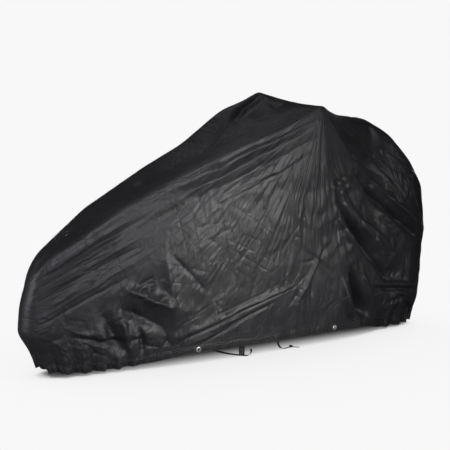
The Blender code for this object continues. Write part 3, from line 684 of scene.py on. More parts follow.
# %% Bundles of fine creases
Bundle = namedtuple("Bundle", "a b reach_a reach_b angle spread length width height count")
LEFT_BUNDLES = table(Bundle, """
1.5 .84  .16 .17  88 14 .16 .008 .0042 26     # under the handlebar end
1.3 .62  .22 .2  80 28 .11 .007 .003 40
1.08 .52  .26 .22  60 50 .1 .007 .0028 46
.9 .62  .22 .12  26 16 .2 .009 .0024 16
1.12 .88  .3 .08  27 8 .24 .008 .0032 22     # along the ridge
1.1 .27  .32 .1  22 14 .2 .008 .0036 34     # along the long folds
1.2 .4  .26 .09  35 40 .09 .007 .0034 30
1.45 .31  .06 .1  62 16 .1 .008 .005 20     # the crinkled band at the pedal
1.6 .36  .1 .14  95 35 .1 .007 .003 20
1.67 .72  .05 .16  80 40 .08 .008 .011 26     # the rough edge of the deep trough
1.84 .83  .16 .04  20 50 .06 .008 .01 20
.34 .5  .18 .1  29 5 .34 .006 .004 26     # the tight cloth over the nose
.3 .17  .2 .08  20 60 .1 .008 .004 34
.15 .25  .06 .06  60 70 .09 .007 .004 14
.57 .35  .09 .07  40 70 .07 .009 .01 38     # the crumpled corner of the box
.52 .2  .12 .09  80 50 .09 .009 .009 32
.62 .11  .14 .05  62 30 .1 .009 .009 28     # drawn up from the hem beside the box
.24 .12  .15 .06  140 20 .13 .009 .008 22
.74 .34  .1 .14  70 40 .1 .008 .0034 20
1.9 .8  .18 .14  128 12 .2 .008 .0034 22
1.86 .97  .12 .07  130 40 .07 .007 .0038 16
2.07 1.02  .08 .08  140 60 .07 .007 .0048 18     # round the saddle
2.12 .35  .16 .14  120 50 .1 .008 .0034 22
1.84 .19  .05 .1  95 20 .09 .008 .0056 12
2.18 .14  .12 .06  60 50 .08 .008 .0036 16
1.98 .62  .18 .2  118 26 .15 .008 .005 44     # the slack side over the rear wheel
2.22 .6  .12 .24  100 30 .14 .008 .005 34
1.74 .96  .12 .12  118 16 .16 .008 .0046 26
2.02 .26  .22 .12  30 60 .11 .008 .0046 34
""")
RIGHT_BUNDLES = [bundle._replace(a=bundle.a + .05, b=bundle.b + .01, angle=bundle.angle + 4)
                 for bundle in LEFT_BUNDLES]
TOP_BUNDLES = table(Bundle, """
1.15 .06  .24 .1  20 18 .18 .009 .007 40
1.42 .02  .12 .14  120 50 .12 .009 .008 26
1.3 -.14  .22 .1  12 10 .24 .009 .006 20
.7 .02  .05 .05  60 80 .06 .008 .006 12
.52 0  .3 .07  20 50 .1 .008 .0046 44
2.1 .02  .14 .05  40 60 .08 .008 .004 16
""")


def crease_height(a, b, bundles, seed):
    """The sum of all the creases of the bundles. Each is worked out only on the points near it."""
    random = np.random.default_rng(seed)
    total = np.zeros_like(a)
    for bundle in bundles:
        reach = np.array([bundle.reach_a, bundle.reach_b])
        for _ in range(int(bundle.count)):
            place = np.array([bundle.a, bundle.b]) + random.normal(size=2) * reach * .6
            angle = math.radians(bundle.angle + random.normal() * bundle.spread)
            length = bundle.length * random.uniform(.5, 1.5)
            width = bundle.width * random.uniform(.8, 1.5)
            tall = bundle.height * random.uniform(-.8, .5)
            bow = random.normal() * .06 * length
            near = np.nonzero((abs(a - place[0]) < length) & (abs(b - place[1]) < length))
            da, db = a[near] - place[0], b[near] - place[1]
            t = np.clip((da * math.cos(angle) + db * math.sin(angle)) / length, -.5, .5)
            off = db * math.cos(angle) - da * math.sin(angle) - bow * (1 - 4 * t * t)
            past = np.abs(da * math.cos(angle) + db * math.sin(angle)) - np.abs(t) * length
            steep = np.where(off > 0, 1.0, 1.5)
            across = (off / width * steep) ** 2 + (past / width) ** 2
            total[near] += tall * np.exp(-1.7 * (np.sqrt(across + .02) - .141)) * (1 - 4 * t * t)
    return total


left_crease = crease_height(distance, z_on_form, LEFT_BUNDLES, 201)
right_crease = crease_height(distance, z_on_form, RIGHT_BUNDLES, 202)
top_crease = crease_height(distance, y_on_form, TOP_BUNDLES, 203)
side_crumple = side_crumple + np.where(is_left, left_crease, right_crease)
top_crumple = top_crumple + top_crease
print("fine creases:", sum(int(bundle.count) for bundle in LEFT_BUNDLES), "on each side")

# %% [markdown]
# ## Hem and seams
# The hem band is doubled, so it is stiffer than the cloth above it, and side folds die out just
# above it. At the nose and the tail, elastic gathers it into uneven pleats. Along the middle seam
# the thread draws the two panels together in small puckers.

# %% Gathers and puckers
Gather = namedtuple("Gather", "zone length pleats depth reach")
GATHERS = [Gather("nose", .66, 7, .011, .10), Gather("nose", .62, 17, .004, .05),
           Gather("tail", .44, 5, .010, .10), Gather("tail", .42, 12, .004, .05)]


def gather_height(along):
    total = np.zeros((len(along), from_hem.shape[1]))
    for gather in GATHERS:
        run = (along if gather.zone == "nose" else along.max() - along)[:, None]
        inside = 1 - smoothstep(run / gather.length, .75, 1)
        uneven = .9 * np.sin(11 * run + gather.pleats)
        wave = np.cos(2 * math.pi * gather.pleats * run / gather.length + uneven)
        total += gather.depth * wave * inside * np.exp(-from_hem / gather.reach)
    return total


RIDGE_FADE, SEAM_FADE, HEM_FADE, SEAM_PULL = .03, .05, .10, .05
PUCKER_STEP, PUCKER_HEIGHT, PUCKER_REACH = .028, .0022, .022
SEAM_RIDGE, SEAM_FLAT, RIDGE_EDGE = .0012, .008, .014       # the sewn edges are folded to the left side
SEAM_GAP = .0004
TOP_SHARE, HEM_SHARE = .6, .25      # how much of the small creases shows on top, and on the hem
REAR_SLACK, SLACK_FROM, SLACK_FULL = .5, 1.60, 1.80     # folds are deeper over the rear wheel

on_side = 1 - smoothstep(from_hem, ridge_column - RIDGE_FADE, ridge_column + RIDGE_FADE)
off_hem = smoothstep(from_hem, BAND_HEIGHT * .6, HEM_FADE)
off_seam = smoothstep(np.abs(y_on_form), 0, SEAM_FADE)
slacker = 1 + REAR_SLACK * smoothstep(distance, SLACK_FROM, SLACK_FULL)
side_height = np.where(is_left, left_height, right_height) * slacker
side_crumple *= slacker
from_middle = np.abs(columns - middle_column)[None, :]
pucker = noise(rows[:, None] + 0 * from_middle, 40 * is_left + 0 * rows[:, None], PUCKER_STEP, 91)
pucker_height = PUCKER_HEIGHT * pucker * np.exp(-from_middle / PUCKER_REACH)
pucker_height *= smoothstep(from_middle, 0, SEAM_FLAT)
height = side_height * on_side * off_hem * off_seam + top_height * (1 - on_side)
height += gather_height(rows) * off_seam
height += side_crumple * on_side * (HEM_SHARE + (1 - HEM_SHARE) * off_hem) * off_seam
height += top_crumple * (1 - on_side) * TOP_SHARE
height += pucker_height + SEAM_RIDGE * (1 - smoothstep(from_middle, SEAM_FLAT, RIDGE_EDGE)) * is_left
cloth_points = form + form_normals * height[..., None]
seam_y = cloth_points[:, COLUMNS // 2, 1].copy()
cloth_points[..., 1] -= seam_y[:, None] * np.exp(-((columns - middle_column) / SEAM_PULL) ** 2)[None, :]

# %% [markdown]
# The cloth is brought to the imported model's length and width, so that it hangs where its solid does.

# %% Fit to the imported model
low, high = cloth_points[..., 0].min(), cloth_points[..., 0].max()
cloth_points[..., 0] = ((cloth_points[..., 0] - low) / (high - low) - .5) * (LENGTH - CLOTH)
across = cloth_points[..., 1]
half = (WIDTH - CLOTH) / 2
cloth_points[..., 1] = across * half / np.where(across < 0, -across.min(), across.max())
cloth_normals = outward(cloth_points)
print("cloth box:", np.round(cloth_points.min((0, 1)), 3), np.round(cloth_points.max((0, 1)), 3))


# %% [markdown]
# ## Cutting the panels
# Each panel is cut from the grid: its outline is the middle seam and the top of the hem band.
# Blender's grid primitive gives the faces, and its points are then set in one call.

# %% Sheets from the grid
def sheet_from(name, points, uv_size, pull=None):
    """A grid primitive whose points are set to a grid of points. pull gives a second map."""
    count_u, count_v = points.shape[0], points.shape[1]
    made = added(name, "grid", x_subdivisions=count_u - 1, y_subdivisions=count_v - 1, size=1)
    mesh = made.data
    flat = np.zeros(len(mesh.vertices) * 3, np.float32)
    mesh.vertices.foreach_get("co", flat)
    flat = flat.reshape(-1, 3)
    i = np.rint((flat[:, 0] + .5) * (count_u - 1)).astype(int)
    j = np.rint((flat[:, 1] + .5) * (count_v - 1)).astype(int)
    mesh.vertices.foreach_set("co", points[i, j].astype(np.float32).ravel())
    uv = mesh.uv_layers.active.data
    corner_uv = np.zeros(len(uv) * 2, np.float32)
    uv.foreach_get("uv", corner_uv)
    corner_uv = corner_uv.reshape(-1, 2) * np.array(uv_size, np.float32)
    uv.foreach_set("uv", corner_uv.ravel())
    if pull is not None:
        corner_vertex = np.zeros(len(uv), np.int32)
        mesh.loops.foreach_get("vertex_index", corner_vertex)
        second = mesh.uv_layers.new(name="pull")
        second.data.foreach_set("uv", pull[i, j][corner_vertex].astype(np.float32).ravel())
    mesh.shade_smooth()
    mesh.update()
    return made


def face_out(made, expected):
    """Turns the faces round if they point against the expected direction at the first face."""
    polygon = made.data.polygons[len(made.data.polygons) // 2]
    if polygon.normal.dot(expected) < 0:
        made.data.flip_normals()


def own_side(points, side):
    """Keeps a piece on its own side of the middle seam."""
    sign = -1 if side == "left" else 1
    points[..., 1] = sign * np.maximum(sign * points[..., 1], SEAM_GAP / 2)
    return points


band_columns = int(round(BAND_HEIGHT / columns[1]))
half_columns = COLUMNS // 2
print("hem band is", band_columns, "columns high")

PULL_FROM = {"left": (1.485, 1.232), "right": (1.603, 1.274)}       # the ends of the handlebar


def pull_map(side, first, last):
    """Each point's angle round the handlebar end, and its distance from it."""
    peak = PULL_FROM[side]
    back, down = distance[:, first:last + 1] - peak[0], peak[1] - z_on_form[:, first:last + 1]
    return np.stack([np.arctan2(back, down), np.hypot(back, down)], axis=2)


panels = {}
for side, first, last in (("left", band_columns, half_columns),
                          ("right", half_columns, COLUMNS - band_columns)):
    points = own_side(cloth_points[:, first:last + 1].copy(), side)
    size = (rows[-1], columns[last] - columns[first])
    panel = sheet_from(f"{side}_cloth", points, size, pull_map(side, first, last))
    face_out(panel, Vector((0, -1 if side == "left" else 1, .3)))
    panels[side] = panel
    print(panel.name, len(panel.data.polygons) * 2, "triangles")

# %% [markdown]
# ## Coated nylon
# The cloth is a fine plain weave with a thin coating. The weave is too fine to see at this
# distance: it only makes the shine silky. What shows is the fine crinkle of the coating, long thin
# creases that run to the handlebar's end or slant across the side, and a shade and a shine that
# change from place to place. Bigger creases are already in the mesh, these are bump.

# %% Finish of the cloth
NYLON_DARK, NYLON_PALE = (.014, .0137, .0150, 1), (.024, .0234, .0252, 1)
NYLON_ROUGH = .47
SHARPNESS, SHARP_HEIGHT, FINE_HEIGHT, WEAVE_HEIGHT = -20, -.0018, .0005, .00004


def stretched(finish, where, angle, across, along, seed):
    """Smooth noise drawn out in one direction; across and along are waves per metre."""
    turned = finish.node("Mapping", 0, None, Vector=where, Location=(seed, 0, 0), Rotation=(0, 0, angle))
    scaled = finish.node("Mapping", 0, None, Vector=turned, Scale=(along, across, 1))
    return finish.node("TexNoise", 0, {"noise_dimensions": "2D"}, Vector=scaled, Scale=1.0, Detail=.4,
                       Roughness=.5, Distortion=.1)


def creased(finish, where, angle, across, along, seed):
    """Slack cloth between sharp creases: 0 in a crease, and up to about 1 between creases."""
    return (stretched(finish, where, angle, across, along, seed) - .5).math("ABSOLUTE") * 3


def sharp(finish, where, angle, across, along, seed):
    """Thin sharp creases on flat cloth: 1 in a crease and 0 a few millimetres beside it."""
    away = (stretched(finish, where, angle, across, along, seed) - .5).math("ABSOLUTE")
    return (away * SHARPNESS).math("EXPONENT")


def mix_colours(finish, share, first, second):
    made = finish.node("Mix", 2, {"data_type": "RGBA"})
    link_or_set(finish.tree, made.socket.node.inputs[0], share)
    made.socket.node.inputs[6].default_value = first
    made.socket.node.inputs[7].default_value = second
    return made


def nylon(name, dark, pale, roughness, map_name):
    """Coated nylon. The creases are heights in metres, and the long ones follow the named map."""
    finish = Finish(name, IOR=1.46)
    place, flat, pulled = finish.place(), finish.map("UVMap"), finish.map(map_name)
    patches = finish.cloud(place, 2.2, 3, .6)
    broken = finish.ease(finish.cloud(place, 6, 2), .38, .62)       # which creases show where
    busy = finish.ease(finish.cloud(place, 3.6, 2), .40, .60, .35)      # and how strong they are
    streaks = finish.cloud(place, 34, 4, .62, .6)
    finish.feed("Base Color", mix_colours(finish, patches, dark, pale))
    finish.feed("Roughness", (patches - .5) * .10 + (streaks - .5) * .14 + roughness)
    rays = (creased(finish, pulled, 0, 2.4, 11, 3) * .0024
            + creased(finish, pulled, 0, 3.0, 25, 7) * .0013)
    slant = (creased(finish, flat, .5, 14, 3.5, 17) * .0020
             + creased(finish, flat, .8, 34, 8.0, 19) * .0011)
    upright = (creased(finish, flat, 1.25, 13, 4.0, 29) * .0020
               + creased(finish, flat, 1.5, 32, 9.0, 31) * .0011)
    across = creased(finish, flat, -.5, 24, 9.0, 41) * .0010
    thin = (sharp(finish, pulled, 0, 1.2, 15, 53) * broken
            + sharp(finish, flat, .45, 17, .9, 61) * (1 - broken)
            + sharp(finish, flat, 1.35, 20, 1.0, 67) * broken
            + sharp(finish, flat, 2.4, 16, 1.2, 73) * (1 - broken)) * SHARP_HEIGHT
    finish.relief(rays + (thin + slant * broken + upright * (1 - broken) + across * broken) * busy
                  + finish.cloud(place, 90, 3, .6, .8) * FINE_HEIGHT
                  + finish.cloud(place, 900, 1) * WEAVE_HEIGHT, 1, 1)
    return finish.material


panel_nylon = nylon("coated nylon", NYLON_DARK, NYLON_PALE, NYLON_ROUGH, "pull")


def placed(piece, finish, slot, *nodes):
    """Gives a piece its finish, hangs it under the root and hides the imported parts that it stands for.
    """
    piece.data.materials.clear()
    piece.data.materials.append(finish)
    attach(piece, "root")
    if nodes:
        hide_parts(*nodes)


def area_of(piece):
    return sum(polygon.area for polygon in piece.data.polygons)


for side, panel in panels.items():
    placed(panel, panel_nylon, "coated_cloth", f"{side}_panel")
    print(panel.name, "area", round(area_of(panel), 2), "m2")

# %% [markdown]
# ## Eyelets
# An eyelet is two thin turned parts, pressed together through the hem so that a round lip stands
# up round the bore. A flat ring would look like a washer. Here the section of the lip and the
# flange is drawn once, and a Screw modifier turns it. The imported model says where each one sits.

# %% Eyelets
EYELET_SECTION = [      # (radius, distance from the middle of the band), from the bore to the rim
    (.0062, .0000), (.0062, .0024), (.0065, .0030), (.0072, .0034), (.0081, .0033), (.0091, .0029),
    (.0105, .0029), (.0122, .0027), (.0132, .0024), (.0135, .0021), (.0132, .0019), (.0100, .0019),
    (.0074, .0019), (.0072, .0000)]
EYELETS = [f"eyelet_{side}_{end}" for side in ("left", "right") for end in ("front", "rear")]
TURNED_STEPS = 48


def ring_place(node):
    """The middle of a packed ring and its axis, which is the direction in which it is thinnest."""
    points = np.array([vertex.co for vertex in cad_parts[node].data.vertices])
    middle = (points.min(0) + points.max(0)) / 2
    axis = np.linalg.eigh(np.cov((points - middle).T))[1][:, 0]
    return middle, axis * (-1 if (axis[1] > 0) == ("left" in node) else 1)


def facing(middle, axis):
    """A placement with its Z axis along the given one."""
    turn = Vector(axis).to_track_quat("Z", "Y").to_matrix().to_4x4()
    return Matrix.Translation(Vector(middle)) @ turn


def only(made):
    """Selects one object alone and makes it the active one."""
    bpy.ops.object.select_all(action="DESELECT")
    made.select_set(True)
    bpy.context.view_layer.objects.active = made


def apply_modifiers(made):
    only(made)
    for modifier in list(made.modifiers):
        bpy.ops.object.modifier_apply(modifier=modifier.name)


def tidy_mesh(made, merge=1e-5, smooth_angle=40):
    """Merges doubled points, turns the faces outwards and shades smooth up to an angle."""
    only(made)
    bpy.ops.object.mode_set(mode="EDIT")
    bpy.ops.mesh.select_all(action="SELECT")
    bpy.ops.mesh.remove_doubles(threshold=merge)
    bpy.ops.mesh.normals_make_consistent(inside=False)
    bpy.ops.object.mode_set(mode="OBJECT")
    bpy.ops.object.shade_smooth_by_angle(angle=math.radians(smooth_angle))


def turned_ring(name, middle, axis):
    section = EYELET_SECTION + [(radius, -off) for radius, off in EYELET_SECTION[-2:0:-1]]
    mesh = bpy.data.meshes.new(name)
    count = len(section)
    mesh.from_pydata([(radius, 0, off) for radius, off in section],
                     [(k, (k + 1) % count) for k in range(count)], [])
    ring = linked(name, mesh)
    turned = ring.modifiers.new("turned", "SCREW")
    turned.steps = turned.render_steps = TURNED_STEPS
    turned.use_merge_vertices, turned.merge_threshold = True, 1e-5
    apply_modifiers(ring)
    ring.data.transform(facing(middle, axis))
    tidy_mesh(ring, smooth_angle=60)
    return ring


metal = Finish("plated metal", Base_Color=(.80, .80, .79, 1), Metallic=1.0)
scuffs = metal.cloud(metal.place(), 420, 4, .6)
metal.feed("Roughness", scuffs * .22 + .28)
metal.relief(scuffs, .25, .0002)

ring_places = {node: ring_place(node) for node in EYELETS}
for node, (middle, axis) in ring_places.items():
    ring = turned_ring(node.replace("eyelet", "ring"), middle, axis)
    placed(ring, metal.material, "eyelet_metal", node)
print("eyelets:", len(ring_places))

# %% [markdown]
# ## Hem bands
# The hem is turned up and sewn down, so it is doubled, with a round lower edge. It could be a flat
# strip, but the thread pulls a groove into it along each row of stitches. So its cross-section
# is drawn once as a closed loop and carried along the hem. It takes in the edge of the panel.

# %% Hem bands
HEM_SECTION = [     # (height above the hem, distance from the middle of the cloth), from the top down
    (.0395, .0004), (.0385, .0013), (.0360, .0016), (.0335, .0015), (.0318, .0007), (.0300, .0015),
    (.0250, .0017), (.0180, .0016), (.0110, .0017), (.0078, .0015), (.0060, .0007), (.0042, .0015),
    (.0022, .0016), (.0008, .0011), (.0000, .0000)]
STITCH_HEIGHTS, GROOVE = (.0318, .0060), .0007      # the places of the two grooves in the table above
FLAT_NEAR, FLAT_FAR = .018, .036        # the band is flat round an eyelet
EYELET_HOLE = .0075


def cloth_at(column):
    """A line of points from nose to tail, and the cloth's normals there."""
    return [between(grid.swapaxes(0, 1), columns, np.array([column]))[0]
            for grid in (cloth_points, cloth_normals)]


def cloth_line(side, height_above_hem):
    """The same along the hem, flat round the eyelets."""
    line, normals = cloth_at(height_above_hem if side == "left" else columns[-1] - height_above_hem)
    for node, (middle, axis) in ring_places.items():
        if side in node:
            away = np.linalg.norm(line - middle, axis=1, keepdims=True)
            near = 1 - smoothstep(away, FLAT_NEAR, FLAT_FAR)
            line = line - axis * ((line - middle) @ axis)[:, None] * near
            normals = normals * (1 - near) + axis * near
    return line, normals / np.linalg.norm(normals, axis=1, keepdims=True)


def closed_loft(name, points, uv_size):
    """A tube through rows of points. The first and the last point of a row are the same place."""
    made = sheet_from(name, points, uv_size)
    only(made)
    bpy.ops.object.mode_set(mode="EDIT")
    bpy.ops.mesh.select_all(action="SELECT")
    bpy.ops.mesh.remove_doubles(threshold=1e-6)
    bpy.ops.mesh.select_all(action="DESELECT")
    bpy.ops.mesh.select_non_manifold(extend=False, use_wire=False, use_multi_face=False,
                                     use_non_contiguous=False, use_verts=False)
    bpy.ops.mesh.edge_face_add()
    bpy.ops.object.mode_set(mode="OBJECT")
    return made


def hem_band(side):
    section = HEM_SECTION + [(above, -off) for above, off in HEM_SECTION[-2::-1]] + HEM_SECTION[:1]
    loops = []
    for above, off in section:
        line, normals = cloth_line(side, above)
        loops.append(line + normals * off)
    points = own_side(np.stack(loops, axis=1), side)
    band = closed_loft(f"{side}_hem", points, (rows[-1], 2 * BAND_HEIGHT))
    for node, (middle, axis) in ring_places.items():
        if side in node:
            punch(band, middle, axis, EYELET_HOLE)
    tidy_mesh(band, 1e-7)
    return band


def punch(made, middle, axis, radius):
    """A round hole, cut by a cylinder along the axis."""
    cutter = added("cutter", "cylinder", vertices=32, radius=radius, depth=.02)
    cutter.data.transform(facing(middle, axis))
    cut_away(made, cutter)


def cut_away(made, cutter):
    cut = made.modifiers.new("cut", "BOOLEAN")
    cut.operation, cut.solver, cut.object = "DIFFERENCE", "EXACT", cutter
    apply_modifiers(made)
    bpy.data.objects.remove(cutter, do_unlink=True)


hem_nylon = nylon("hem nylon", (.013, .0127, .0136, 1), (.021, .0205, .022, 1), .50, "UVMap")
hems = {}
for side in ("left", "right"):
    hems[side] = hem_band(side)
    placed(hems[side], hem_nylon, "hem_cloth", f"{side}_hem_band")
    print(hems[side].name, "area", round(area_of(hems[side]) / 2, 3), "m2")

# %% [markdown]
# ## Stitches
# Thousands of stitches could be a pattern on a strip, but then the edge of a seam stays flat. Here
# one stitch is modelled with a few faces, and copies of it are set along each row of sewing.

# %% Stitches
STITCH, STITCH_STEP = (.0040, .0009, .0007), .0056      # length, width and height
STITCH_LIFT = .0002


def one_stitch():
    made = added("stitch", "uv_sphere", segments=6, ring_count=3, radius=.5)
    made.data.transform(Matrix.Diagonal((*STITCH, 1)) @ Matrix.Rotation(math.pi / 2, 4, "Y"))
    points = np.array([vertex.co for vertex in made.data.vertices])
    faces = [tuple(polygon.vertices) for polygon in made.data.polygons]
    bpy.data.objects.remove(made, do_unlink=True)
    return points, faces


stitch_points, stitch_faces = one_stitch()


def stitches_along(line, normals):
    """Points and faces of stitches set end to end along a line."""
    steps = np.linalg.norm(np.diff(line, axis=0), axis=1)
    along = np.concatenate([[0], np.cumsum(steps)])
    centres_at = np.arange(STITCH_STEP, along[-1] - STITCH_STEP / 2, STITCH_STEP)

    def read(values, wanted):
        return np.stack([np.interp(wanted, along, column) for column in values.T], axis=1)
    centres, up = read(line, centres_at), read(normals, centres_at)
    forward = read(line, centres_at + STITCH_STEP / 4) - read(line, centres_at - STITCH_STEP / 4)
    forward /= np.linalg.norm(forward, axis=1, keepdims=True)
    sideways = np.cross(up, forward)
    turns = np.stack([forward, sideways, up], axis=2)
    points = np.einsum("nij,kj->nki", turns, stitch_points) + centres[:, None]
    count = len(stitch_points)
    faces = [tuple(k * count + v for v in face) for k in range(len(centres)) for face in stitch_faces]
    return points.reshape(-1, 3), faces


def sewing(name, runs):
    """All the stitches along several lines, as one piece."""
    points, faces = [], []
    for line, normals in runs:
        new_points, new_faces = stitches_along(line, normals)
        start = sum(len(p) for p in points)
        points.append(new_points)
        faces += [tuple(start + v for v in face) for face in new_faces]
    mesh = bpy.data.meshes.new(name)
    mesh.from_pydata(np.vstack(points).tolist(), [], faces)
    mesh.shade_smooth()
    made = linked(name, mesh)
    tidy_mesh(made, 1e-8, 80)
    print(name, len(faces) // len(stitch_faces), "stitches")
    return made


thread = Finish("black thread", Base_Color=(.014, .0138, .0145, 1), Roughness=.85)
thread.relief(thread.cloud(thread.place(), 1500, 1), .4, .0002)

def lifted(lines, lift):
    return [(line + normals * lift, normals) for line, normals in lines]


for side in ("left", "right"):
    lines = [cloth_line(side, above) for above in STITCH_HEIGHTS]
    sewn = sewing(f"{side}_hem_stitches", lifted(lines, GROOVE + STITCH_LIFT))
    placed(sewn, thread.material, "hem_cloth")

SEAM_STITCHES = (.0030, .0095)      # distances of the two rows from the middle seam
lines = [cloth_at(middle_column - off) for off in SEAM_STITCHES]
placed(sewing("middle_seam_stitches", lifted(lines, STITCH_LIFT)), thread.material, "coated_cloth")

# %% [markdown]
# ## Straps
# The straps are woven webbing: flat, with rounded woven edges and ribs across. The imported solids
# are plain strips that already lie where the straps do. So the cross-sections of each solid are
# read back in order, and a rounder cross-section is carried through the same places.

# %% Reading a strap's cross-sections
STRAP_THICK = .0016
STRAPS = {"belly_strap": .025, "buckle_tab": .025, "tie_strap": .010}      # widths
SAME_SIZE = 4e-5        # an edge this close to a width or a thickness lies in one cross-section


def strap_sections(node, width):
    """The middle, width direction and thickness direction of each cross-section, from end to end."""
    mesh = bmesh.new()
    mesh.from_mesh(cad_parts[node].data)
    bmesh.ops.remove_doubles(mesh, verts=mesh.verts, dist=1e-6)
    group = {}
    for start in mesh.verts:
        todo = [] if start in group else [start]
        while todo:
            vertex = todo.pop()
            group[vertex] = start
            for edge in vertex.link_edges:
                size, other = edge.calc_length(), edge.other_vert(vertex)
                if min(abs(size - width), abs(size - STRAP_THICK)) < SAME_SIZE and other not in group:
                    todo.append(other)
    beside = {start: set() for start in group.values()}
    for edge in mesh.edges:
        first, second = (group[vertex] for vertex in edge.verts)
        if first is not second:
            beside[first].add(second)
            beside[second].add(first)
    here, order = next(start for start in beside if len(beside[start]) == 1), []
    while here:
        order.append(here)
        here = next((start for start in beside[here] if start not in order), None)
    sections = []
    for start in order:
        points = np.array([vertex.co for vertex in group if group[vertex] is start])
        middle = points.mean(0)
        turns = np.linalg.svd(points - middle)[2]
        for k in (0, 1):
            if sections and turns[k] @ sections[-1][k + 1] < 0:
                turns[k] *= -1
        sections.append((middle, turns[0], turns[1]))
    mesh.free()
    return sections


WEBBING_EDGE = [    # half of the cross-section, in parts of the width and the thickness
    (-.5, .0), (-.5, .25), (-.485, .42), (-.46, .5), (-.40, .5), (.40, .5), (.46, .5), (.485, .42),
    (.5, .25)]


def webbing(name, sections, width):
    profile = WEBBING_EDGE + [(-across, -off) for across, off in WEBBING_EDGE] + WEBBING_EDGE[:1]
    points = np.array([[middle + across * width * wide + off * STRAP_THICK * thick
                        for across, off in profile] for middle, wide, thick in sections])
    length = sum(np.linalg.norm(b[0] - a[0]) for a, b in zip(sections, sections[1:]))
    made = closed_loft(name, points, (length, 2 * width))
    tidy_mesh(made, 1e-7, 50)
    print(name, round(length * 1000), "mm long")
    return made


woven = Finish("black webbing", Base_Color=(.020, .0198, .021, 1), Roughness=.72)
ribs = woven.node("TexWave", 1, {"bands_direction": "X"}, Vector=woven.map("UVMap"), Scale=200.0,
                  Distortion=.6, Detail=1.0)
woven.relief(ribs + woven.cloud(woven.place(), 1400, 2) * .5, .6, .0002)

for node, width in STRAPS.items():
    name = node.split("_")[0] + "_webbing"
    placed(webbing(name, strap_sections(node, width), width), woven.material, "webbing", node)

# %% [markdown]
# ## Buckle and slider
# A side-release buckle is closed here: its plug's two prongs show in the windows of the socket. A
# plain block with bevelled edges would do at this size, but the windows, the prongs, the bars for
# the webbing and the ribs are what a hand looks for. They are cut from and added to blocks with
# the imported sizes.

# %% Moulded parts
BEVEL_STEPS = 3
moulded = Finish("moulded plastic", Base_Color=(.024, .024, .025, 1), IOR=1.5)
grain = moulded.cloud(moulded.place(), 2600, 2)
moulded.feed("Roughness", grain * .18 + .30)
moulded.relief(grain, .3, .0001)


def block(name, size, middle, bevel, turn=0):
    """A rounded block. Its place is in the mesh, so the object stays at the origin."""
    made = added(name, "cube", size=1)
    made.data.transform(Matrix.Diagonal((*size, 1)))
    rounding = made.modifiers.new("rounding", "BEVEL")
    rounding.width, rounding.segments = bevel, BEVEL_STEPS
    apply_modifiers(made)
    made.data.transform(Matrix.Translation(middle) @ Matrix.Rotation(turn, 4, "Z"))
    return made


def cut_block(made, size, middle, bevel, turn=0):
    cut_away(made, block("cutter", size, middle, bevel, turn))


def joined(made, *others):
    """Several blocks as one piece. They are united, so no face is left inside."""
    for other in others:
        unite = made.modifiers.new("unite", "BOOLEAN")
        unite.operation, unite.solver, unite.object = "UNION", "EXACT", other
        apply_modifiers(made)
        bpy.data.objects.remove(other, do_unlink=True)
    return made


def node_block(node):
    """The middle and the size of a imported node."""
    low, high = (np.array(corner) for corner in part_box(node))
    return (low + high) / 2, high - low


def finished_part(made, *nodes):
    tidy_mesh(made, 1e-6, 35)
    placed(made, moulded.material, "buckle_plastic", *nodes)


# %% [markdown]
# The socket has a window in each side, a slot under its top bar, and a ribbed face. The plug has
# a slot above its bottom bar, and its prongs bow outwards through the socket's windows. Sizes are
# (along the hem, through, up), and a drop is a distance down from the middle.

# %% Buckle
EDGE = .0022
WINDOW, WINDOW_DROP, WINDOW_EDGE = (.009, .02, .0125), .001, .0020
BAR_SLOT, PLUG_SLOT, SLOT_EDGE, BAR_HEIGHT = (.026, .02, .0026), (.0235, .02, .0026), .0008, .0045
FACE, FACE_DROP, FACE_EDGE = (.019, .0118), .0015, .0012
RIB, RIB_OUT, RIB_DROP, RIB_STEP, RIB_EDGE = (.0125, .0011, .0010), .0014, .0045, .0028, .0003
GROOVE_SIZE, GROOVE_UP, GROOVE_EDGE = (.019, .0028), .0035, .0007
PRONG, PRONG_IN, PRONG_DROP, PRONG_EDGE = (.0042, .0056, .0118), .0024, .0012, .0014
GRIP, GRIP_IN, GRIP_DROP, GRIP_STEP = (.0010, .0050, .0009), .0004, .0038, .0026
SOCKET_DEPTH, PLUG_DEPTH = .86, .82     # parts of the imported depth

socket_middle, (wide, thick, tall) = node_block("buckle_socket")
socket = block("socket", (wide, thick * SOCKET_DEPTH, tall), socket_middle, EDGE)
for side in (-1, 1):
    cut_block(socket, WINDOW, socket_middle + (side * wide / 2, 0, -WINDOW_DROP), WINDOW_EDGE)
cut_block(socket, BAR_SLOT, socket_middle + (0, 0, tall / 2 - BAR_HEIGHT), SLOT_EDGE)
front = thick * SOCKET_DEPTH
cut_block(socket, (FACE[0], thick, FACE[1]), socket_middle - (0, front, FACE_DROP), FACE_EDGE)
for k in range(3):
    rib_middle = socket_middle + (0, RIB_OUT - front / 2, k * RIB_STEP - RIB_DROP)
    joined(socket, block("rib", RIB, rib_middle, RIB_EDGE))
finished_part(socket, "buckle_socket")

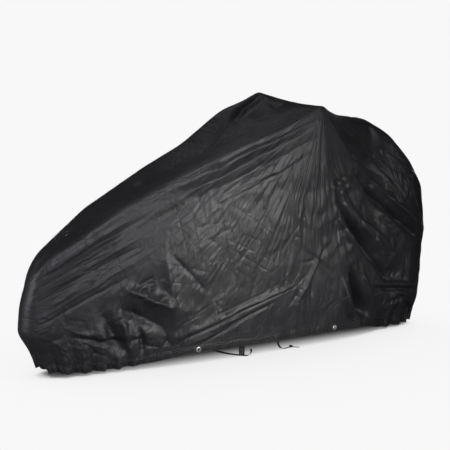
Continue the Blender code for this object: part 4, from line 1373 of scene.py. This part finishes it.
plug_middle, plug_size = node_block("buckle_plug")
plug = block("plug", plug_size * (1, PLUG_DEPTH, 1), plug_middle, EDGE)
cut_block(plug, PLUG_SLOT, plug_middle + (0, 0, BAR_HEIGHT - plug_size[2] / 2), SLOT_EDGE)
cut_block(plug, (GROOVE_SIZE[0], plug_size[1], GROOVE_SIZE[1]),
          plug_middle + (0, -plug_size[1] * .80, GROOVE_UP), GROOVE_EDGE)
finished_part(plug, "buckle_plug")
for side, name in ((-1, "prong_front"), (1, "prong_rear")):
    prong_middle = socket_middle + (side * (wide / 2 - PRONG_IN), 0, -PRONG_DROP)
    prong = block(name, PRONG, prong_middle, PRONG_EDGE)
    for k in range(3):
        grip_middle = socket_middle + (side * (wide / 2 - GRIP_IN), 0, k * GRIP_STEP - GRIP_DROP)
        joined(prong, block("grip", GRIP, grip_middle, RIB_EDGE))
    finished_part(prong)

# %% [markdown]
# The tie is knotted where it comes out under the hem. A knot this small is two rounded blocks that
# cross. The slider has two slots with a bar between them, and the tie runs through it.

# %% Knot and slider
KNOT_HEIGHT = .045
KNOT, TURN = ((.018, .011, .012), .0045, .4), ((.008, .0145, .015), .0036, -.5)     # size, edge, angle
SLIDER_SIZE, SLIDER_EDGE, SLIDER_TURN = (.012, .016, .008), .0016, .1
SLIDER_SLOT, SLIDER_SLOT_OFF, SLIDER_SLOT_EDGE = (.0022, .0112, .02), .0027, .0006

tie = strap_sections("tie_strap", STRAPS["tie_strap"])
tie = tie if tie[0][0][2] > tie[-1][0][2] else tie[::-1]
out = next(place for place, _, _ in tie if place[2] < KNOT_HEIGHT)
knot, turn = (block(name, size, Vector(out), edge, angle)
              for name, (size, edge, angle) in (("tie_knot", KNOT), ("turn", TURN)))
joined(knot, turn)
tidy_mesh(knot, 1e-6, 50)
placed(knot, woven.material, "webbing")

slider_middle, _ = node_block("tie_slider")
slider = block("slider", SLIDER_SIZE, slider_middle, SLIDER_EDGE, SLIDER_TURN)
for side in (-1, 1):
    off = Matrix.Rotation(SLIDER_TURN, 4, "Z") @ Vector((side * SLIDER_SLOT_OFF, 0, 0))
    cut_block(slider, SLIDER_SLOT, Vector(slider_middle) + off, SLIDER_SLOT_EDGE, SLIDER_TURN)
finished_part(slider, "tie_slider")


# %% [markdown]
# The webbing goes once round the bar at each end of the buckle.

# %% Webbing round the bars
LOOP_STEPS, LOOP_SQUARE, LOOP_REACH, LOOP_RISE = 24, .7, .0044, .0022
SOCKET_BAR, PLUG_BAR, LOOP_INSET = .0020, .0050, .0006


def bar_loop(name, middle):
    """A turn of webbing round a bar that lies along X."""
    turns = np.linspace(0, 2 * math.pi, LOOP_STEPS + 1)[:-1]
    corner = [(math.copysign(abs(math.cos(t)) ** LOOP_SQUARE, math.cos(t)) * LOOP_REACH,
               math.copysign(abs(math.sin(t)) ** LOOP_SQUARE, math.sin(t)) * LOOP_RISE) for t in turns]
    inner, outer = 1 - STRAP_THICK / 2 / LOOP_REACH, 1 + STRAP_THICK / 2 / LOOP_REACH
    half = STRAPS["buckle_tab"] / 2 - LOOP_INSET
    section = [(-half, inner), (-half, outer), (half, outer), (half, inner), (-half, inner)]
    points = np.array([[middle + (across, dy * share, dz * share) for across, share in section]
                       for dy, dz in corner + corner[:1]])
    made = sheet_from(name, points, (2 * math.pi * LOOP_REACH, .05))
    tidy_mesh(made, 1e-6, 50)
    placed(made, woven.material, "webbing")


bar_loop("socket_loop", socket_middle + (0, 0, tall / 2 - SOCKET_BAR))
bar_loop("plug_loop", plug_middle - (0, 0, PLUG_BAR))

# %% [markdown]
# ## Sizes
# The box round the imported model and the box round all that is shown, without the floor, are kept side
# by side.

# %% Sizes, and the end
size = {"cad": cad_box, "visual": [list(corner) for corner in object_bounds()]}
